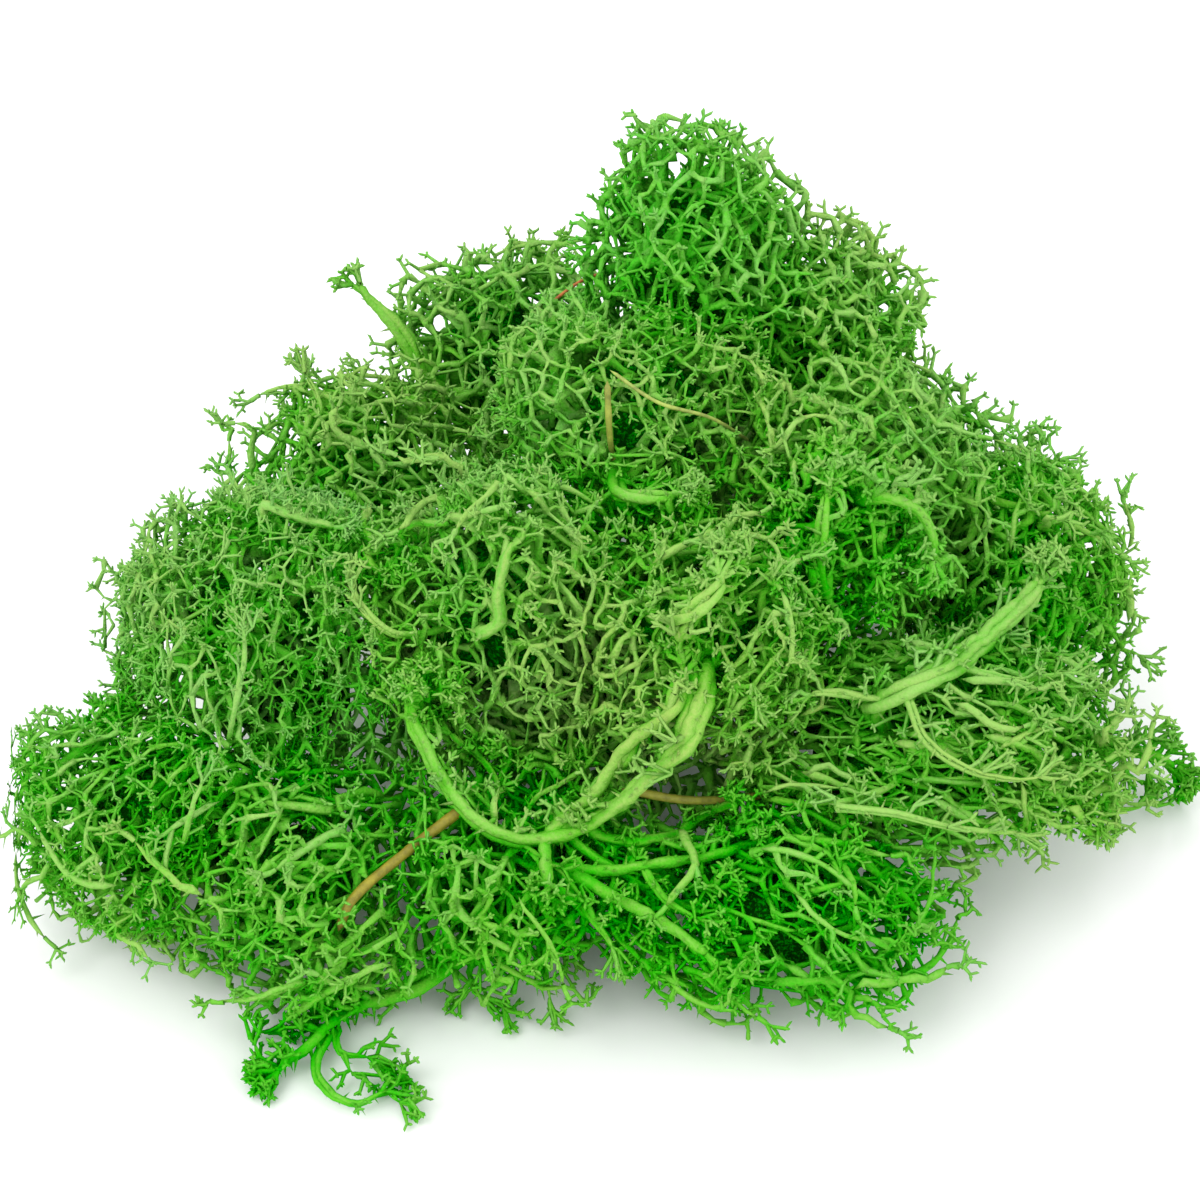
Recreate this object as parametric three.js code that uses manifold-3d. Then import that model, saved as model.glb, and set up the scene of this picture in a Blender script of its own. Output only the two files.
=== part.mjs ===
// A clump of preserved reindeer moss: a heap of forked lichen tufts that hold each other, with a few dry
// straws and needles caught among them. Millimetres, +Z up. The origin is the flat spot under the heart of
// the heap, on the surface that it rests on. +X runs along the clump's length, and -Y is its front.
//
// A tuft is a small core with a tree of branches standing out of it. Its tips are spread over an ellipsoid,
// and the tree is found by halving the set of tips again and again and forking towards each half. Flat cell
// walls between the ellipsoids keep neighbouring tufts apart. Thick bare stems and the sprigs that stray
// from the heap are led by hand along curves, and every other tuft is cut clear of them.

import * as THREE from "three";
import Module from "manifold-3d";
import { ConvexGeometry } from "three/addons/geometries/ConvexGeometry.js";
import { mergeVertices } from "three/addons/utils/BufferGeometryUtils.js";

const wasm = await Module();
wasm.setup();

// ---------------------------------------------------------------- driving dimensions, mm

const TWIG_RADIUS = 0.55; // a branch that carries one tip
const THICKENING = 0.34; // a branch that carries n tips is n ** THICKENING times a twig
const REACH = 0.46; // how far each branch goes towards the middle of the tips that it carries
const WANDER = 0.14; // how far a fork strays sideways, as a share of its branch
const FORK_HEIGHT = 0.8; // height of a fork's peak over its ring, in branch radii
const SUNK = 0.06; // how deep a branch's foot sits in what carries it
const PRONGS = 3; // each tip splits into a star of short prongs
const PRONG_LENGTH = 2.6;
const PRONG_SPREAD = 1.6;
const BUSH_TIPS = 7; // the most tips on one main branch of a tuft
const CORE_SHARE = 0.2; // the core's size against its ellipsoid
const SQUEEZE = 3.5; // tips that stray past a cell wall by less than this are pulled back to it
const HIDDEN_SHARE = 0.86; // tips this deep in a neighbour's ellipsoid are left out
const MEETING_GROWTH = 1.2; // tufts whose ellipsoids meet only when grown more than this have no wall
const CELL_GAP = 0.17; // from a tuft to its cell wall
const CLEARANCE = 0.32; // from a tuft to a foreign stem, straw or needle
const GROUND_TIP = 0.3; // height of the tips that the clump stands on
const SUNK_TIP = -4; // tips lower than this are left out, and not bent up to the ground
const TIE_RADIUS = 1.2; // hidden stems that carry each tuft on an earlier one
const FOOT_RADIUS = 4; // the stem end that the clump stands on, under its heart
const STEM_SIDES = 5;
const STEM_PIECE = 5; // length of a stem's straight pieces
const STEM_TWIGS = 2; // pointed side twigs on each stem's outer part
const STEM_TWIGS_FROM = 0.45; // where that part starts, as a share of the stem
const STEM_TWIG_LENGTH = 3.8;
const STEM_TWIG_RADIUS = 0.5;
const STRAW_SIDES = 6;

const MOSS_GREEN = { color: 0x4fa32c, roughness: 0.9, metalness: 0 };
const DEEP_GREEN = { color: 0x3d9132, roughness: 0.9, metalness: 0 };
const STRAW_BROWN = { color: 0xb5893f, roughness: 0.7, metalness: 0 };

// Each tuft: the middle and radii of its ellipsoid, and how many tips are spread over all of it. About half
// of them fall inside a neighbour and are left out.
const TUFTS = [
  { name: "heart_tuft", centre: [0, 3, 12], radii: [22, 20, 13], tips: 20, seed: 1, foot: true },
  { name: "crown_tuft", centre: [3, 14, 37], radii: [15, 13, 13], tips: 42, seed: 2 },
  { name: "right_mid_tuft", centre: [24, 8, 31], radii: [14, 14, 14], tips: 42, seed: 7 },
  { name: "shoulder_tuft", centre: [21.5, 30, 36], radii: [12, 12, 13], tips: 40, seed: 4 },
  { name: "peak_tuft", centre: [9.5, 28, 45.5], radii: [11, 12, 17], tips: 44, seed: 3, deep: true },
  { name: "ridge_left_tuft", centre: [-25, 24, 20], radii: [14, 12.5, 12.5], tips: 36, seed: 6 },
  { name: "back_left_tuft", centre: [-10, 43, 24], radii: [13.5, 13, 14], tips: 36, seed: 5, deep: true },
  { name: "back_right_tuft", centre: [33.5, 34, 14.5], radii: [13, 13, 13], tips: 36, seed: 8 },
  { name: "back_tuft", centre: [10, 45, 12], radii: [18, 13, 13], tips: 36, seed: 9, deep: true },
  { name: "left_dome_tuft", centre: [-32.5, -3, 21], radii: [17, 16, 17], tips: 50, seed: 10, deep: true },
  { name: "left_front_tuft", centre: [-43, -17, 11.5], radii: [15.5, 13, 12], tips: 40, seed: 11, deep: true },
  { name: "front_left_tuft", centre: [-29, -25, 10], radii: [13, 12, 11], tips: 36, seed: 12 },
  { name: "centre_tuft", centre: [-9, -6, 28], radii: [14, 13, 14], tips: 42, seed: 13 },
  { name: "mid_tuft", centre: [10, -10, 29], radii: [13, 12, 12], tips: 36, seed: 14 },
  { name: "right_dome_tuft", centre: [42.5, 9, 17.5], radii: [12.5, 12.5, 16], tips: 40, seed: 15 },
  { name: "combed_tuft", centre: [30.5, -13, 16], radii: [19, 11.5, 11], tips: 34, seed: 16 },
  { name: "front_right_tuft", centre: [16.5, -27, 9], radii: [16, 11.5, 9], tips: 36, seed: 17, deep: true },
  { name: "front_mid_tuft", centre: [-9, -24.5, 10], radii: [14, 11.5, 10], tips: 34, seed: 18 },
];

// Thick stems and stray sprigs: the tuft that each is part of, its radius at both ends and the points of its
// curve, of which one lies in that tuft's core or on a stem before it.
const STEMS = [
  // the bare arch across the front of the heap, in two strands
  { host: "mid_tuft", radii: [1.2, 0.7], path: [[10, -11.5, 30], [9.5, -21, 32], [8, -24.5, 28],
    [4.5, -25, 23.5], [0, -26, 19.5], [-6, -27.5, 18.5], [-11, -26.5, 19.5], [-15, -22.5, 22],
    [-17.5, -19, 26], [-17.5, -17, 31]] },
  { host: "mid_tuft", radii: [1.0, 0.7], path: [[-5, -27.3, 18.6], [0, -23.8, 22], [3, -23, 27],
    [7, -22.5, 31.5], [8.5, -16, 34]] },
  // the fan of stems that comes out under the arch
  { host: "front_right_tuft", radii: [1.1, 0.8], path: [[-4, -28.5, 16], [0, -29.2, 16.2], [4, -28.8, 16.4],
    [9, -28, 16.4], [15, -25.5, 15.5], [17.5, -27, 10]] },
  { host: "front_right_tuft", radii: [1.0, 0.6], path: [[-4, -28.5, 16], [1, -31.5, 15.6], [5, -33.5, 14.6],
    [8.5, -35.5, 13.4], [13, -38, 11]] },
  { host: "front_right_tuft", radii: [0.8, 0.5], path: [[4, -28.8, 16.4], [6, -32, 15.4], [9.5, -34, 14.5],
    [13, -34.5, 14]] },
  { host: "front_right_tuft", radii: [0.8, 0.5], path: [[-4, -28.5, 16], [-1.5, -32.5, 14.6], [1, -35.5, 12],
    [1, -38, 8.5]] },
  // the combed strands along the right
  { host: "combed_tuft", radii: [1.0, 0.9], path: [[29.5, -13.5, 17.5], [26, -16.5, 25], [29, -16.5, 27.8],
    [34, -13.5, 28.4], [38.5, -8.5, 28.6], [42, -6.5, 31.5], [43, -4.8, 35.5]] },
  { host: "combed_tuft", radii: [0.9, 0.6], path: [[27, -16.5, 26.5], [21, -18.5, 29], [16, -20.5, 28.5]] },
  { host: "combed_tuft", radii: [0.9, 0.6], path: [[34, -13.5, 28.4], [39, -14.5, 27], [44, -11.5, 25.2],
    [49, -9, 24.5]] },
  { host: "combed_tuft", radii: [0.8, 0.5], path: [[29, -16.5, 27.5], [30.5, -22, 26], [34, -24, 24.5],
    [39, -24, 23], [45, -21.5, 21.5]] },
  { host: "combed_tuft", radii: [0.9, 0.5], path: [[30, -14, 17], [27, -23, 20.5], [22, -26.5, 21.5],
    [28, -27.5, 21.5], [35, -27.5, 20], [43, -25.5, 17.5]] },
  // the upright stem and the hook on the right of the heap
  { host: "right_mid_tuft", radii: [1.1, 0.6], path: [[24, 7.5, 31], [22, -7, 31], [21, -9.5, 36],
    [21.5, -6.5, 41.5], [22, -3, 45]] },
  { host: "right_mid_tuft", radii: [1.0, 0.6], path: [[25.5, 7.5, 32.5], [25, -4, 41], [27.5, -5.5, 42.5],
    [30.5, -6, 40.5], [31.5, -7.5, 37], [30.5, -9, 34]] },
  // bare stems in the middle
  { host: "crown_tuft", radii: [1.1, 0.7], path: [[3, 12.5, 37], [2, -1, 39], [6, -3, 40], [10, -3, 42]] },
  { host: "mid_tuft", radii: [1.0, 0.8], path: [[11, -10.5, 30.5], [7, -20, 38.5], [10, -19, 41.5],
    [12, -15, 43.5]] },
  { host: "centre_tuft", radii: [0.9, 0.5], path: [[-10, -7, 29], [-20, -14, 33], [-23.5, -13, 37],
    [-23, -10, 41]] },
  // the stem that stands out at the back left, with a short side prong
  { host: "back_left_tuft", radii: [1.3, 0.8], path: [[-11, 42, 24], [-16, 37, 24.5], [-18.5, 36, 26],
    [-20, 37, 29], [-22, 38.5, 31.5], [-24.5, 40, 33.5], [-26, 41, 35.3], [-26.6, 41.5, 36.8]] },
  { host: "back_left_tuft", radii: [0.7, 0.45], path: [[-25.2, 40.5, 34.3], [-27.4, 41, 35.5],
    [-28.7, 40.5, 35.3]] },
  // upright stems in the left dome
  { host: "left_dome_tuft", radii: [0.9, 0.5], path: [[-33, -5, 22], [-35.5, -18.5, 23], [-34.5, -20, 29],
    [-33.5, -17.5, 34], [-33, -14, 38.5]] },
  { host: "left_front_tuft", radii: [0.9, 0.5], path: [[-42, -18, 12], [-39.5, -27, 17], [-38, -26.5, 22],
    [-35.5, -23.5, 27]] },
  // the sprig that strays over the surface in front, and the branches of its open end
  { host: "front_mid_tuft", radii: [1.25, 0.6], path: [[-9.5, -25, 9.5], [-12.7, -30.4, 7], [-15.2, -31.5, 5.5],
    [-17.8, -32.8, 4], [-20.4, -33.4, 3], [-22.9, -33.9, 2.5], [-25.9, -36.3, 2], [-27.8, -38.5, 1.7],
    [-30.4, -40.8, 1.4], [-33.3, -42.9, 1]] },
  { host: "front_mid_tuft", radii: [0.7, 0.5], path: [[-30, -40.5, 1.4], [-32, -39.7, 1.5], [-32.8, -38.3, 2],
    [-33.3, -36.4, 2.2], [-35, -34.8, 2]] },
  { host: "front_mid_tuft", radii: [0.8, 0.5], path: [[-25.5, -36, 2], [-26.6, -41, 1.4], [-24.9, -43.8, 1.2],
    [-22.2, -44.8, 1], [-19.9, -43.6, 1.4], [-17.4, -43.5, 1.2], [-15.7, -42.6, 1]] },
  { host: "front_mid_tuft", radii: [0.8, 0.5], path: [[-25, -35.7, 2], [-24.7, -38.7, 1.8], [-21.7, -39.2, 1.6],
    [-19.1, -39.4, 1.4], [-17.7, -38.7, 1.2]] },
  // short sprigs that hang beside it
  { host: "front_mid_tuft", radii: [0.9, 0.5], path: [[-10, -25, 9.5], [-11.9, -30.7, 7], [-12.2, -31.7, 4],
    [-10.7, -31.9, 2.5], [-9.2, -33.1, 1.6], [-8.8, -35, 1]] },
  { host: "front_mid_tuft", radii: [0.8, 0.5], path: [[-8, -25, 9.5], [-5.7, -30.9, 9], [-5.4, -31.6, 7.5],
    [-5, -32.3, 4.5], [-4.7, -33.7, 2.2], [-3.9, -35.3, 1], [-2.9, -35.6, 1]] },
  // the two sprigs that meet beyond the right end, and a stub above them
  { host: "right_dome_tuft", radii: [1, 0.6], path: [[43, 8, 16], [46, 2.5, 10], [47.9, -0.8, 6.5],
    [52.3, -1, 6], [56.9, -1.9, 5], [59.4, -2.5, 4], [60.4, -3.7, 3.6], [62.3, -3.8, 3.4]] },
  { host: "right_dome_tuft", radii: [0.8, 0.5], path: [[46.5, 1.5, 9], [47.5, -3, 4.5], [50, -5, 3],
    [52.6, -5.9, 2.5], [54.9, -5.9, 2.2], [57.3, -4.9, 2.6], [60, -3.8, 3.5]] },
  { host: "right_dome_tuft", radii: [0.9, 0.6], path: [[43.5, 9, 17], [48, 7, 14.5], [54, 5, 14],
    [56.8, 4.3, 13.5], [59.7, 3.3, 13]] },
];

// Dry bits caught in the moss.
const STRAWS = [
  { name: "brown_straw", radius: 0.6, path: [[-24.5, -34, 13], [-23.3, -32, 15], [-18, -27.5, 17.3],
    [-12.4, -23.5, 19.5]] },
  { name: "pale_straw", radius: 0.5, path: [[2, -21.5, 19.5], [9, -21.5, 18], [20, -17.5, 15.8],
    [28, -14.5, 15.8]] },
  { name: "upright_needle", radius: 0.45, path: [[0.7, 4.8, 48.5], [0.9, 3.4, 43.5], [1.4, 5.5, 37.5]] },
  { name: "grass_blade", radius: 0.4, path: [[0.9, 6.4, 48.6], [5.5, 4, 46.5], [10.5, 5, 44], [15, 9, 38]] },
  { name: "red_needle", radius: 0.4, path: [[-7, 41, 29], [-5, 36, 36.5], [-1.5, 37, 38.8], [2.5, 39, 38.6]] },
];

// ---------------------------------------------------------------- small helpers

const vec = (p) => new THREE.Vector3(...p);

const middleOf = (points) =>
  points.reduce((sum, p) => sum.add(p), new THREE.Vector3()).divideScalar(points.length);

// A repeatable number from 0 to 1 for a seed, an index and a channel.
function chance(seed, index, channel) {
  let h = Math.imul(seed + 1, 0x9e3779b1) ^ Math.imul(index + 1, 0x85ebca6b);
  h ^= Math.imul(channel + 1, 0xc2b2ae35);
  h = Math.imul(h ^ (h >>> 15), 0x2c1b3c6d);
  h = Math.imul(h ^ (h >>> 12), 0x297a2d39);
  return ((h ^ (h >>> 15)) >>> 0) / 4294967296;
}

function solidFrom(geometry) {
  const bare = geometry.index ? geometry.clone() : geometry;
  bare.deleteAttribute("normal");
  bare.deleteAttribute("uv");
  const merged = mergeVertices(bare, 1e-4);
  return new wasm.Manifold(
    new wasm.Mesh({
      numProp: 3,
      vertProperties: new Float32Array(merged.attributes.position.array),
      triVerts: new Uint32Array(merged.index.array),
    }),
  );
}

function geometryFrom(solid) {
  const mesh = solid.getMesh();
  return new THREE.BufferGeometry()
    .setAttribute("position", new THREE.BufferAttribute(new Float32Array(mesh.vertProperties), 3))
    .setIndex(new THREE.BufferAttribute(new Uint32Array(mesh.triVerts), 1));
}

// The ring of points round a place on a branch. The first one lies towards the given side.
function ringPoints(centre, axis, towards, radius, sides) {
  const u = towards.clone().projectOnPlane(axis).normalize();
  const v = axis.clone().cross(u);
  return Array.from({ length: sides }, (_, i) => {
    const angle = (2 * Math.PI * i) / sides;
    const side = u.clone().multiplyScalar(Math.cos(angle)).addScaledVector(v, Math.sin(angle));
    return centre.clone().addScaledVector(side, radius);
  });
}

const anyAcross = (axis) => (Math.abs(axis.z) < 0.8 ? vec([0, 0, 1]) : vec([1, 0, 0]));

const hull = (points) => solidFrom(new ConvexGeometry(points));

// The pieces of a limb that leaves from a triangular face. A limb is a tree { point, radius, arms } whose
// arms are trees too. Each branch is the hull of that face and a ring of three corners. At a fork a peak over
// the ring makes three small faces, which the arms leave from. An arm with nothing beyond it ends in a point.
function limbPieces(face, tree) {
  const from = middleOf(face);
  const inward = face[2].clone().sub(face[0]).cross(face[1].clone().sub(face[0])).normalize();
  const base = [...face, from.clone().addScaledVector(inward, SUNK)];
  const axis = tree.point.clone().sub(from).normalize();
  if (!tree.arms.length && !tree.blunt) return [hull([...base, tree.point])];
  const sides = tree.arms.map((arm) => arm.point.clone().sub(tree.point).normalize().projectOnPlane(axis));
  let towards = face[0].clone().sub(from);
  if (sides.length === 2) {
    towards = axis.clone().cross(sides[0].clone().sub(sides[1]));
    if (towards.dot(sides[0].clone().add(sides[1])) < 0) towards.negate();
  } else if (sides.length === 3) towards = sides[0].clone().negate();
  const ring = ringPoints(tree.point, axis, towards, tree.radius, 3);
  if (tree.blunt) return [hull([...base, ...ring])];
  const peak = tree.point.clone().addScaledVector(axis, FORK_HEIGHT * tree.radius);
  const open = ring.map((corner, k) => [corner, ring[(k + 1) % 3], peak]);
  const facing = (corners, side) => middleOf(corners).sub(tree.point).dot(side);
  const arms = tree.arms.flatMap((arm, i) => {
    open.sort((a, b) => facing(b, sides[i]) - facing(a, sides[i]));
    return limbPieces(open.shift(), arm);
  });
  return [hull([...base, ...ring, peak]), ...arms];
}

// A closed tube through points with a radius at each. It ends in a blunt point.
function tubeSkin(stops, sides, extra = 0) {
  const points = [];
  const faces = [];
  let towards = null;
  stops.forEach(({ point, radius }, i) => {
    const before = stops[Math.max(i - 1, 0)].point;
    const axis = stops[Math.min(i + 1, stops.length - 1)].point.clone().sub(before).normalize();
    towards = (towards ?? anyAcross(axis)).clone().projectOnPlane(axis).normalize();
    points.push(...ringPoints(point, axis, towards, radius + extra, sides));
    if (i === 0) points.unshift(point.clone().addScaledVector(axis, -0.4 * radius - extra));
    if (i === stops.length - 1) points.push(point.clone().addScaledVector(axis, 0.8 * radius + extra));
  });
  const end = points.length - 1;
  for (let k = 0; k < sides; k++) {
    const next = (k + 1) % sides;
    faces.push(0, 1 + next, 1 + k);
    for (let i = 0; i < stops.length - 1; i++) {
      const near = 1 + i * sides;
      const far = near + sides;
      faces.push(near + k, near + next, far + next, near + k, far + next, far + k);
    }
    faces.push(end - sides + k, end - sides + next, end);
  }
  return solidFrom(new THREE.BufferGeometry().setFromPoints(points).setIndex(faces));
}

const largestBody = (solid) => solid.decompose().sort((a, b) => b.volume() - a.volume())[0];

// ---------------------------------------------------------------- cells

// Two tufts' ellipsoids, both grown by the same share, first touch about here on the line between them.
function meeting(tuft, other) {
  const between = vec(other.centre).sub(vec(tuft.centre));
  const mine = between.clone().divide(vec(tuft.radii)).length();
  const theirs = between.clone().divide(vec(other.radii)).length();
  const share = theirs / (mine + theirs);
  return { between, share, growth: share * mine };
}

// The flat walls between a tuft and the tufts that it meets, as inward normals and offsets.
function cellWalls(tuft) {
  const walls = [];
  for (const other of TUFTS) {
    if (other === tuft) continue;
    const { between, share, growth } = meeting(tuft, other);
    if (growth > MEETING_GROWTH) continue;
    const facing = (radii) => between.clone().divide(vec(radii)).divide(vec(radii)).normalize();
    const outward = facing(tuft.radii).add(facing(other.radii)).normalize();
    const point = vec(tuft.centre).addScaledVector(between, share);
    walls.push({ inward: outward.clone().negate(), offset: -point.dot(outward) });
  }
  return walls;
}

// Moves a point inside the walls by at least the given depth.
function pushInside(point, walls, depth) {
  for (const wall of walls) {
    const inside = point.dot(wall.inward) - wall.offset;
    if (inside < depth) point.addScaledVector(wall.inward, depth - inside);
  }
  return point;
}

const isInside = (point, walls, depth) => walls.every((wall) => point.dot(wall.inward) - wall.offset > depth);

// ---------------------------------------------------------------- tips and branches

// Tips spread evenly over an ellipsoid, each a little in or out of it. Tips near the ground stand on it.
function tipsOver({ name, centre, radii, tips, seed }, walls) {
  const turn = Math.PI * (3 - Math.sqrt(5));
  const found = [];
  for (let i = 0; i < tips; i++) {
    const height = 1 - (2 * (i + 0.5)) / tips;
    const ring = Math.sqrt(1 - height * height);
    const angle = i * turn + 0.8 * chance(seed, i, 0);
    const share = 0.84 + 0.22 * chance(seed, i, 1);
    const tip = vec([ring * Math.cos(angle), ring * Math.sin(angle), height])
      .multiplyScalar(share)
      .multiply(vec(radii))
      .add(vec(centre));
    if (tip.z < SUNK_TIP || !isInside(tip, walls, -SQUEEZE)) continue;
    const depth = (other) => tip.clone().sub(vec(other.centre)).divide(vec(other.radii)).length();
    if (TUFTS.some((other) => other.name !== name && depth(other) < HIDDEN_SHARE)) continue;
    tip.z = Math.max(tip.z, GROUND_TIP);
    found.push(pushInside(tip, walls, CELL_GAP + TWIG_RADIUS));
  }
  return found;
}

// Halves a set of points across the axis along which they spread most.
function halve(points) {
  const size = new THREE.Box3().setFromPoints(points).getSize(new THREE.Vector3());
  const axis = size.x >= size.y && size.x >= size.z ? "x" : size.y >= size.z ? "y" : "z";
  const sorted = [...points].sort((a, b) => a[axis] - b[axis]);
  const half = Math.ceil(sorted.length / 2);
  return [sorted.slice(0, half), sorted.slice(half)];
}

const inGroups = (points, most) =>
  points.length <= most ? [points] : halve(points).flatMap((half) => inGroups(half, most));

// A number that differs from place to place, to seed what grows there.
const placeIndex = (p) => Math.round(40 * p.x) + 7919 * Math.round(40 * p.y) + 104729 * Math.round(40 * p.z);

// A twig that ends in a star of prongs round its tip.
function twigTo(from, tip, walls, seed) {
  const axis = tip.clone().sub(from).normalize();
  const length = Math.min(PRONG_LENGTH, 0.55 * tip.distanceTo(from));
  const star = tip.clone().addScaledVector(axis, -length);
  const turn = vec([0, 1, 2].map((channel) => chance(seed, placeIndex(tip), channel) - 0.5));
  const arms = ringPoints(tip, axis, turn, PRONG_SPREAD, PRONGS).map((end, k) => {
    end.addScaledVector(axis, 0.9 * (chance(seed, placeIndex(tip), 3 + k) - 0.5));
    end.z = Math.max(end.z, GROUND_TIP);
    return { point: pushInside(end, walls, CELL_GAP), arms: [] };
  });
  return { point: star, radius: 0.85 * TWIG_RADIUS, arms };
}

// The forked tree that leads from a point to a set of tips.
function forkTowards(from, tips, walls, seed) {
  if (tips.length === 1) return twigTo(from, tips[0], walls, seed);
  const radius = TWIG_RADIUS * tips.length ** THICKENING;
  const middle = middleOf(tips);
  const length = REACH * middle.distanceTo(from);
  const stray = [0, 1, 2].map((channel) => chance(seed, placeIndex(middle), channel) - 0.5);
  const point = from.clone().lerp(middle, REACH).addScaledVector(vec(stray), 2 * WANDER * length);
  point.z = Math.max(point.z, 0.8 * radius);
  pushInside(point, walls, CELL_GAP + radius);
  return { point, radius, arms: halve(tips).map((half) => forkTowards(point, half, walls, seed)) };
}

// ---------------------------------------------------------------- stems and straws

// Stops along a smooth curve, with the radius at each.
function stopsAlong(path, radii) {
  const curve = new THREE.CatmullRomCurve3(path.map(vec));
  const pieces = Math.ceil(curve.getLength() / STEM_PIECE);
  return Array.from({ length: pieces + 1 }, (_, i) => ({
    point: curve.getPointAt(i / pieces),
    radius: THREE.MathUtils.lerp(radii[0], radii[1], i / pieces),
  }));
}

// Side twigs on the outer part of a stem, turned round it one after the other. The last one ends the stem.
function stemTwigs(stem) {
  const stops = stopsAlong(stem.path, stem.radii);
  const seed = STEMS.indexOf(stem);
  return Array.from({ length: STEM_TWIGS }, (_, k) => {
    const share = THREE.MathUtils.lerp(STEM_TWIGS_FROM, 1, (k + 0.5) / STEM_TWIGS);
    const place = Math.round(share * (stops.length - 1));
    const root = stops[place].point;
    const axis = root.clone().sub(stops[place - 1].point).normalize();
    const side = anyAcross(axis).applyAxisAngle(axis, 2.4 * k + 6 * chance(seed, k, 0));
    const aim = axis.clone().addScaledVector(side.projectOnPlane(axis).normalize(), 0.9).normalize();
    const tip = root.clone().addScaledVector(aim, STEM_TWIG_LENGTH * (0.75 + 0.5 * chance(seed, k, 1)));
    tip.z = Math.max(tip.z, GROUND_TIP);
    return { root, aim, tip };
  });
}

function stemSolid(stem) {
  const twigs = stemTwigs(stem).map(({ root, aim, tip }) =>
    hull([...ringPoints(root, aim, anyAcross(aim), STEM_TWIG_RADIUS, 3), tip]),
  );
  return wasm.Manifold.union([tubeSkin(stopsAlong(stem.path, stem.radii), STEM_SIDES), ...twigs]);
}

// The room that a foreign stem needs.
function stemRoom(stem) {
  const twigs = stemTwigs(stem).map(({ root, aim, tip }) =>
    hull([
      ...ringPoints(root, aim, anyAcross(aim), STEM_TWIG_RADIUS + 2 * CLEARANCE, 3),
      ...ringPoints(tip.clone().addScaledVector(aim, CLEARANCE), aim, anyAcross(aim), 1.5 * CLEARANCE, 3),
    ]),
  );
  const room = tubeSkin(stopsAlong(stem.path, stem.radii), STEM_SIDES, 1.5 * CLEARANCE);
  return wasm.Manifold.union([room, ...twigs]);
}

const strawSolid = (straw, extra) =>
  tubeSkin(stopsAlong(straw.path, [straw.radius, 0.8 * straw.radius]), STRAW_SIDES, extra);

// ---------------------------------------------------------------- tufts

// A lumpy ball, smaller than the tuft's ellipsoid and inside its cell, as corner points and faces.
function coreBall(tuft, walls) {
  const ball = new THREE.IcosahedronGeometry(1);
  ball.deleteAttribute("normal");
  ball.deleteAttribute("uv");
  const { attributes, index } = mergeVertices(ball, 1e-4);
  const points = Array.from({ length: attributes.position.count }, (_, i) => {
    const lump = CORE_SHARE * (0.9 + 0.2 * chance(tuft.seed, i, 5));
    const place = new THREE.Vector3().fromBufferAttribute(attributes.position, i).multiplyScalar(lump);
    return pushInside(place.multiply(vec(tuft.radii)).add(vec(tuft.centre)), walls, CELL_GAP);
  });
  const faces = Array.from({ length: index.count / 3 }, (_, i) => [0, 1, 2].map((k) => index.getX(3 * i + k)));
  return { points, faces };
}

// Each tuft but the first is tied to the one before it that it meets most. Both get a stem along the line
// between them, and the stems meet end to end at the wall.
function tiedTufts(tuft) {
  const place = TUFTS.indexOf(tuft);
  const best = (i) => {
    const growth = (other) => meeting(TUFTS[i], other).growth;
    return TUFTS.slice(0, i).reduce((found, other) => (growth(other) < growth(found) ? other : found));
  };
  const later = TUFTS.filter((_, i) => i > place && best(i) === tuft);
  return place ? [best(place), ...later] : later;
}

function tieTo(tuft, other) {
  const { between, share } = meeting(tuft, other);
  const point = vec(tuft.centre).addScaledVector(between, share - CELL_GAP / between.length());
  return { point, radius: TIE_RADIUS, arms: [], blunt: true };
}

// The stem end under the heart of the heap, which is cut flat at the ground.
const footTree = () => ({ point: vec([0, 0, -0.5]), radius: FOOT_RADIUS, arms: [], blunt: true });

const trimToCell = (solid, walls) =>
  walls.reduce((left, { inward, offset }) => left.trimByPlane(inward.toArray(), offset + CELL_GAP), solid);

function tuftSolid(tuft) {
  const walls = cellWalls(tuft);
  const { points, faces } = coreBall(tuft, walls);
  const middle = vec(tuft.centre);
  const outward = (place) => place.clone().sub(middle).normalize();
  const faceMiddles = faces.map((corners) => middleOf(corners.map((c) => points[c])));
  const free = new Set(faces.keys());
  const limbTo = (place, grow) => {
    const fit = (face) => outward(faceMiddles[face]).dot(outward(place));
    const face = [...free].reduce((best, other) => (fit(other) > fit(best) ? other : best));
    free.delete(face);
    return limbPieces(faces[face].map((c) => points[c]), grow(faceMiddles[face]));
  };
  const pieces = [
    solidFrom(new THREE.BufferGeometry().setFromPoints(points).setIndex(faces.flat())),
    ...(tuft.foot ? limbTo(new THREE.Vector3(), footTree) : []),
    ...tiedTufts(tuft).flatMap((other) => limbTo(vec(other.centre), () => tieTo(tuft, other))),
    ...inGroups(tipsOver(tuft, walls), BUSH_TIPS).flatMap((tips) =>
      limbTo(middleOf(tips), (from) => forkTowards(from, tips, walls, tuft.seed)),
    ),
  ];
  const grown = trimToCell(wasm.Manifold.union(pieces), walls);
  const own = STEMS.filter((stem) => stem.host === tuft.name).map(stemSolid);
  const foreign = [
    ...STEMS.filter((stem) => stem.host !== tuft.name).map(stemRoom),
    ...STRAWS.map((straw) => strawSolid(straw, CLEARANCE)),
  ];
  const fused = wasm.Manifold.union([grown, ...own]).trimByPlane([0, 0, 1], 0);
  return largestBody(fused.subtract(wasm.Manifold.union(foreign)));
}

// ---------------------------------------------------------------- the clump

const clump = new THREE.Group();

function addPiece(name, solid, finish) {
  const mesh = new THREE.Mesh(geometryFrom(solid), new THREE.MeshStandardMaterial(finish));
  mesh.name = name;
  clump.add(mesh);
}

for (const tuft of TUFTS) addPiece(tuft.name, tuftSolid(tuft), tuft.deep ? DEEP_GREEN : MOSS_GREEN);
for (const straw of STRAWS) addPiece(straw.name, strawSolid(straw, 0), STRAW_BROWN);

export default clump;
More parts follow.
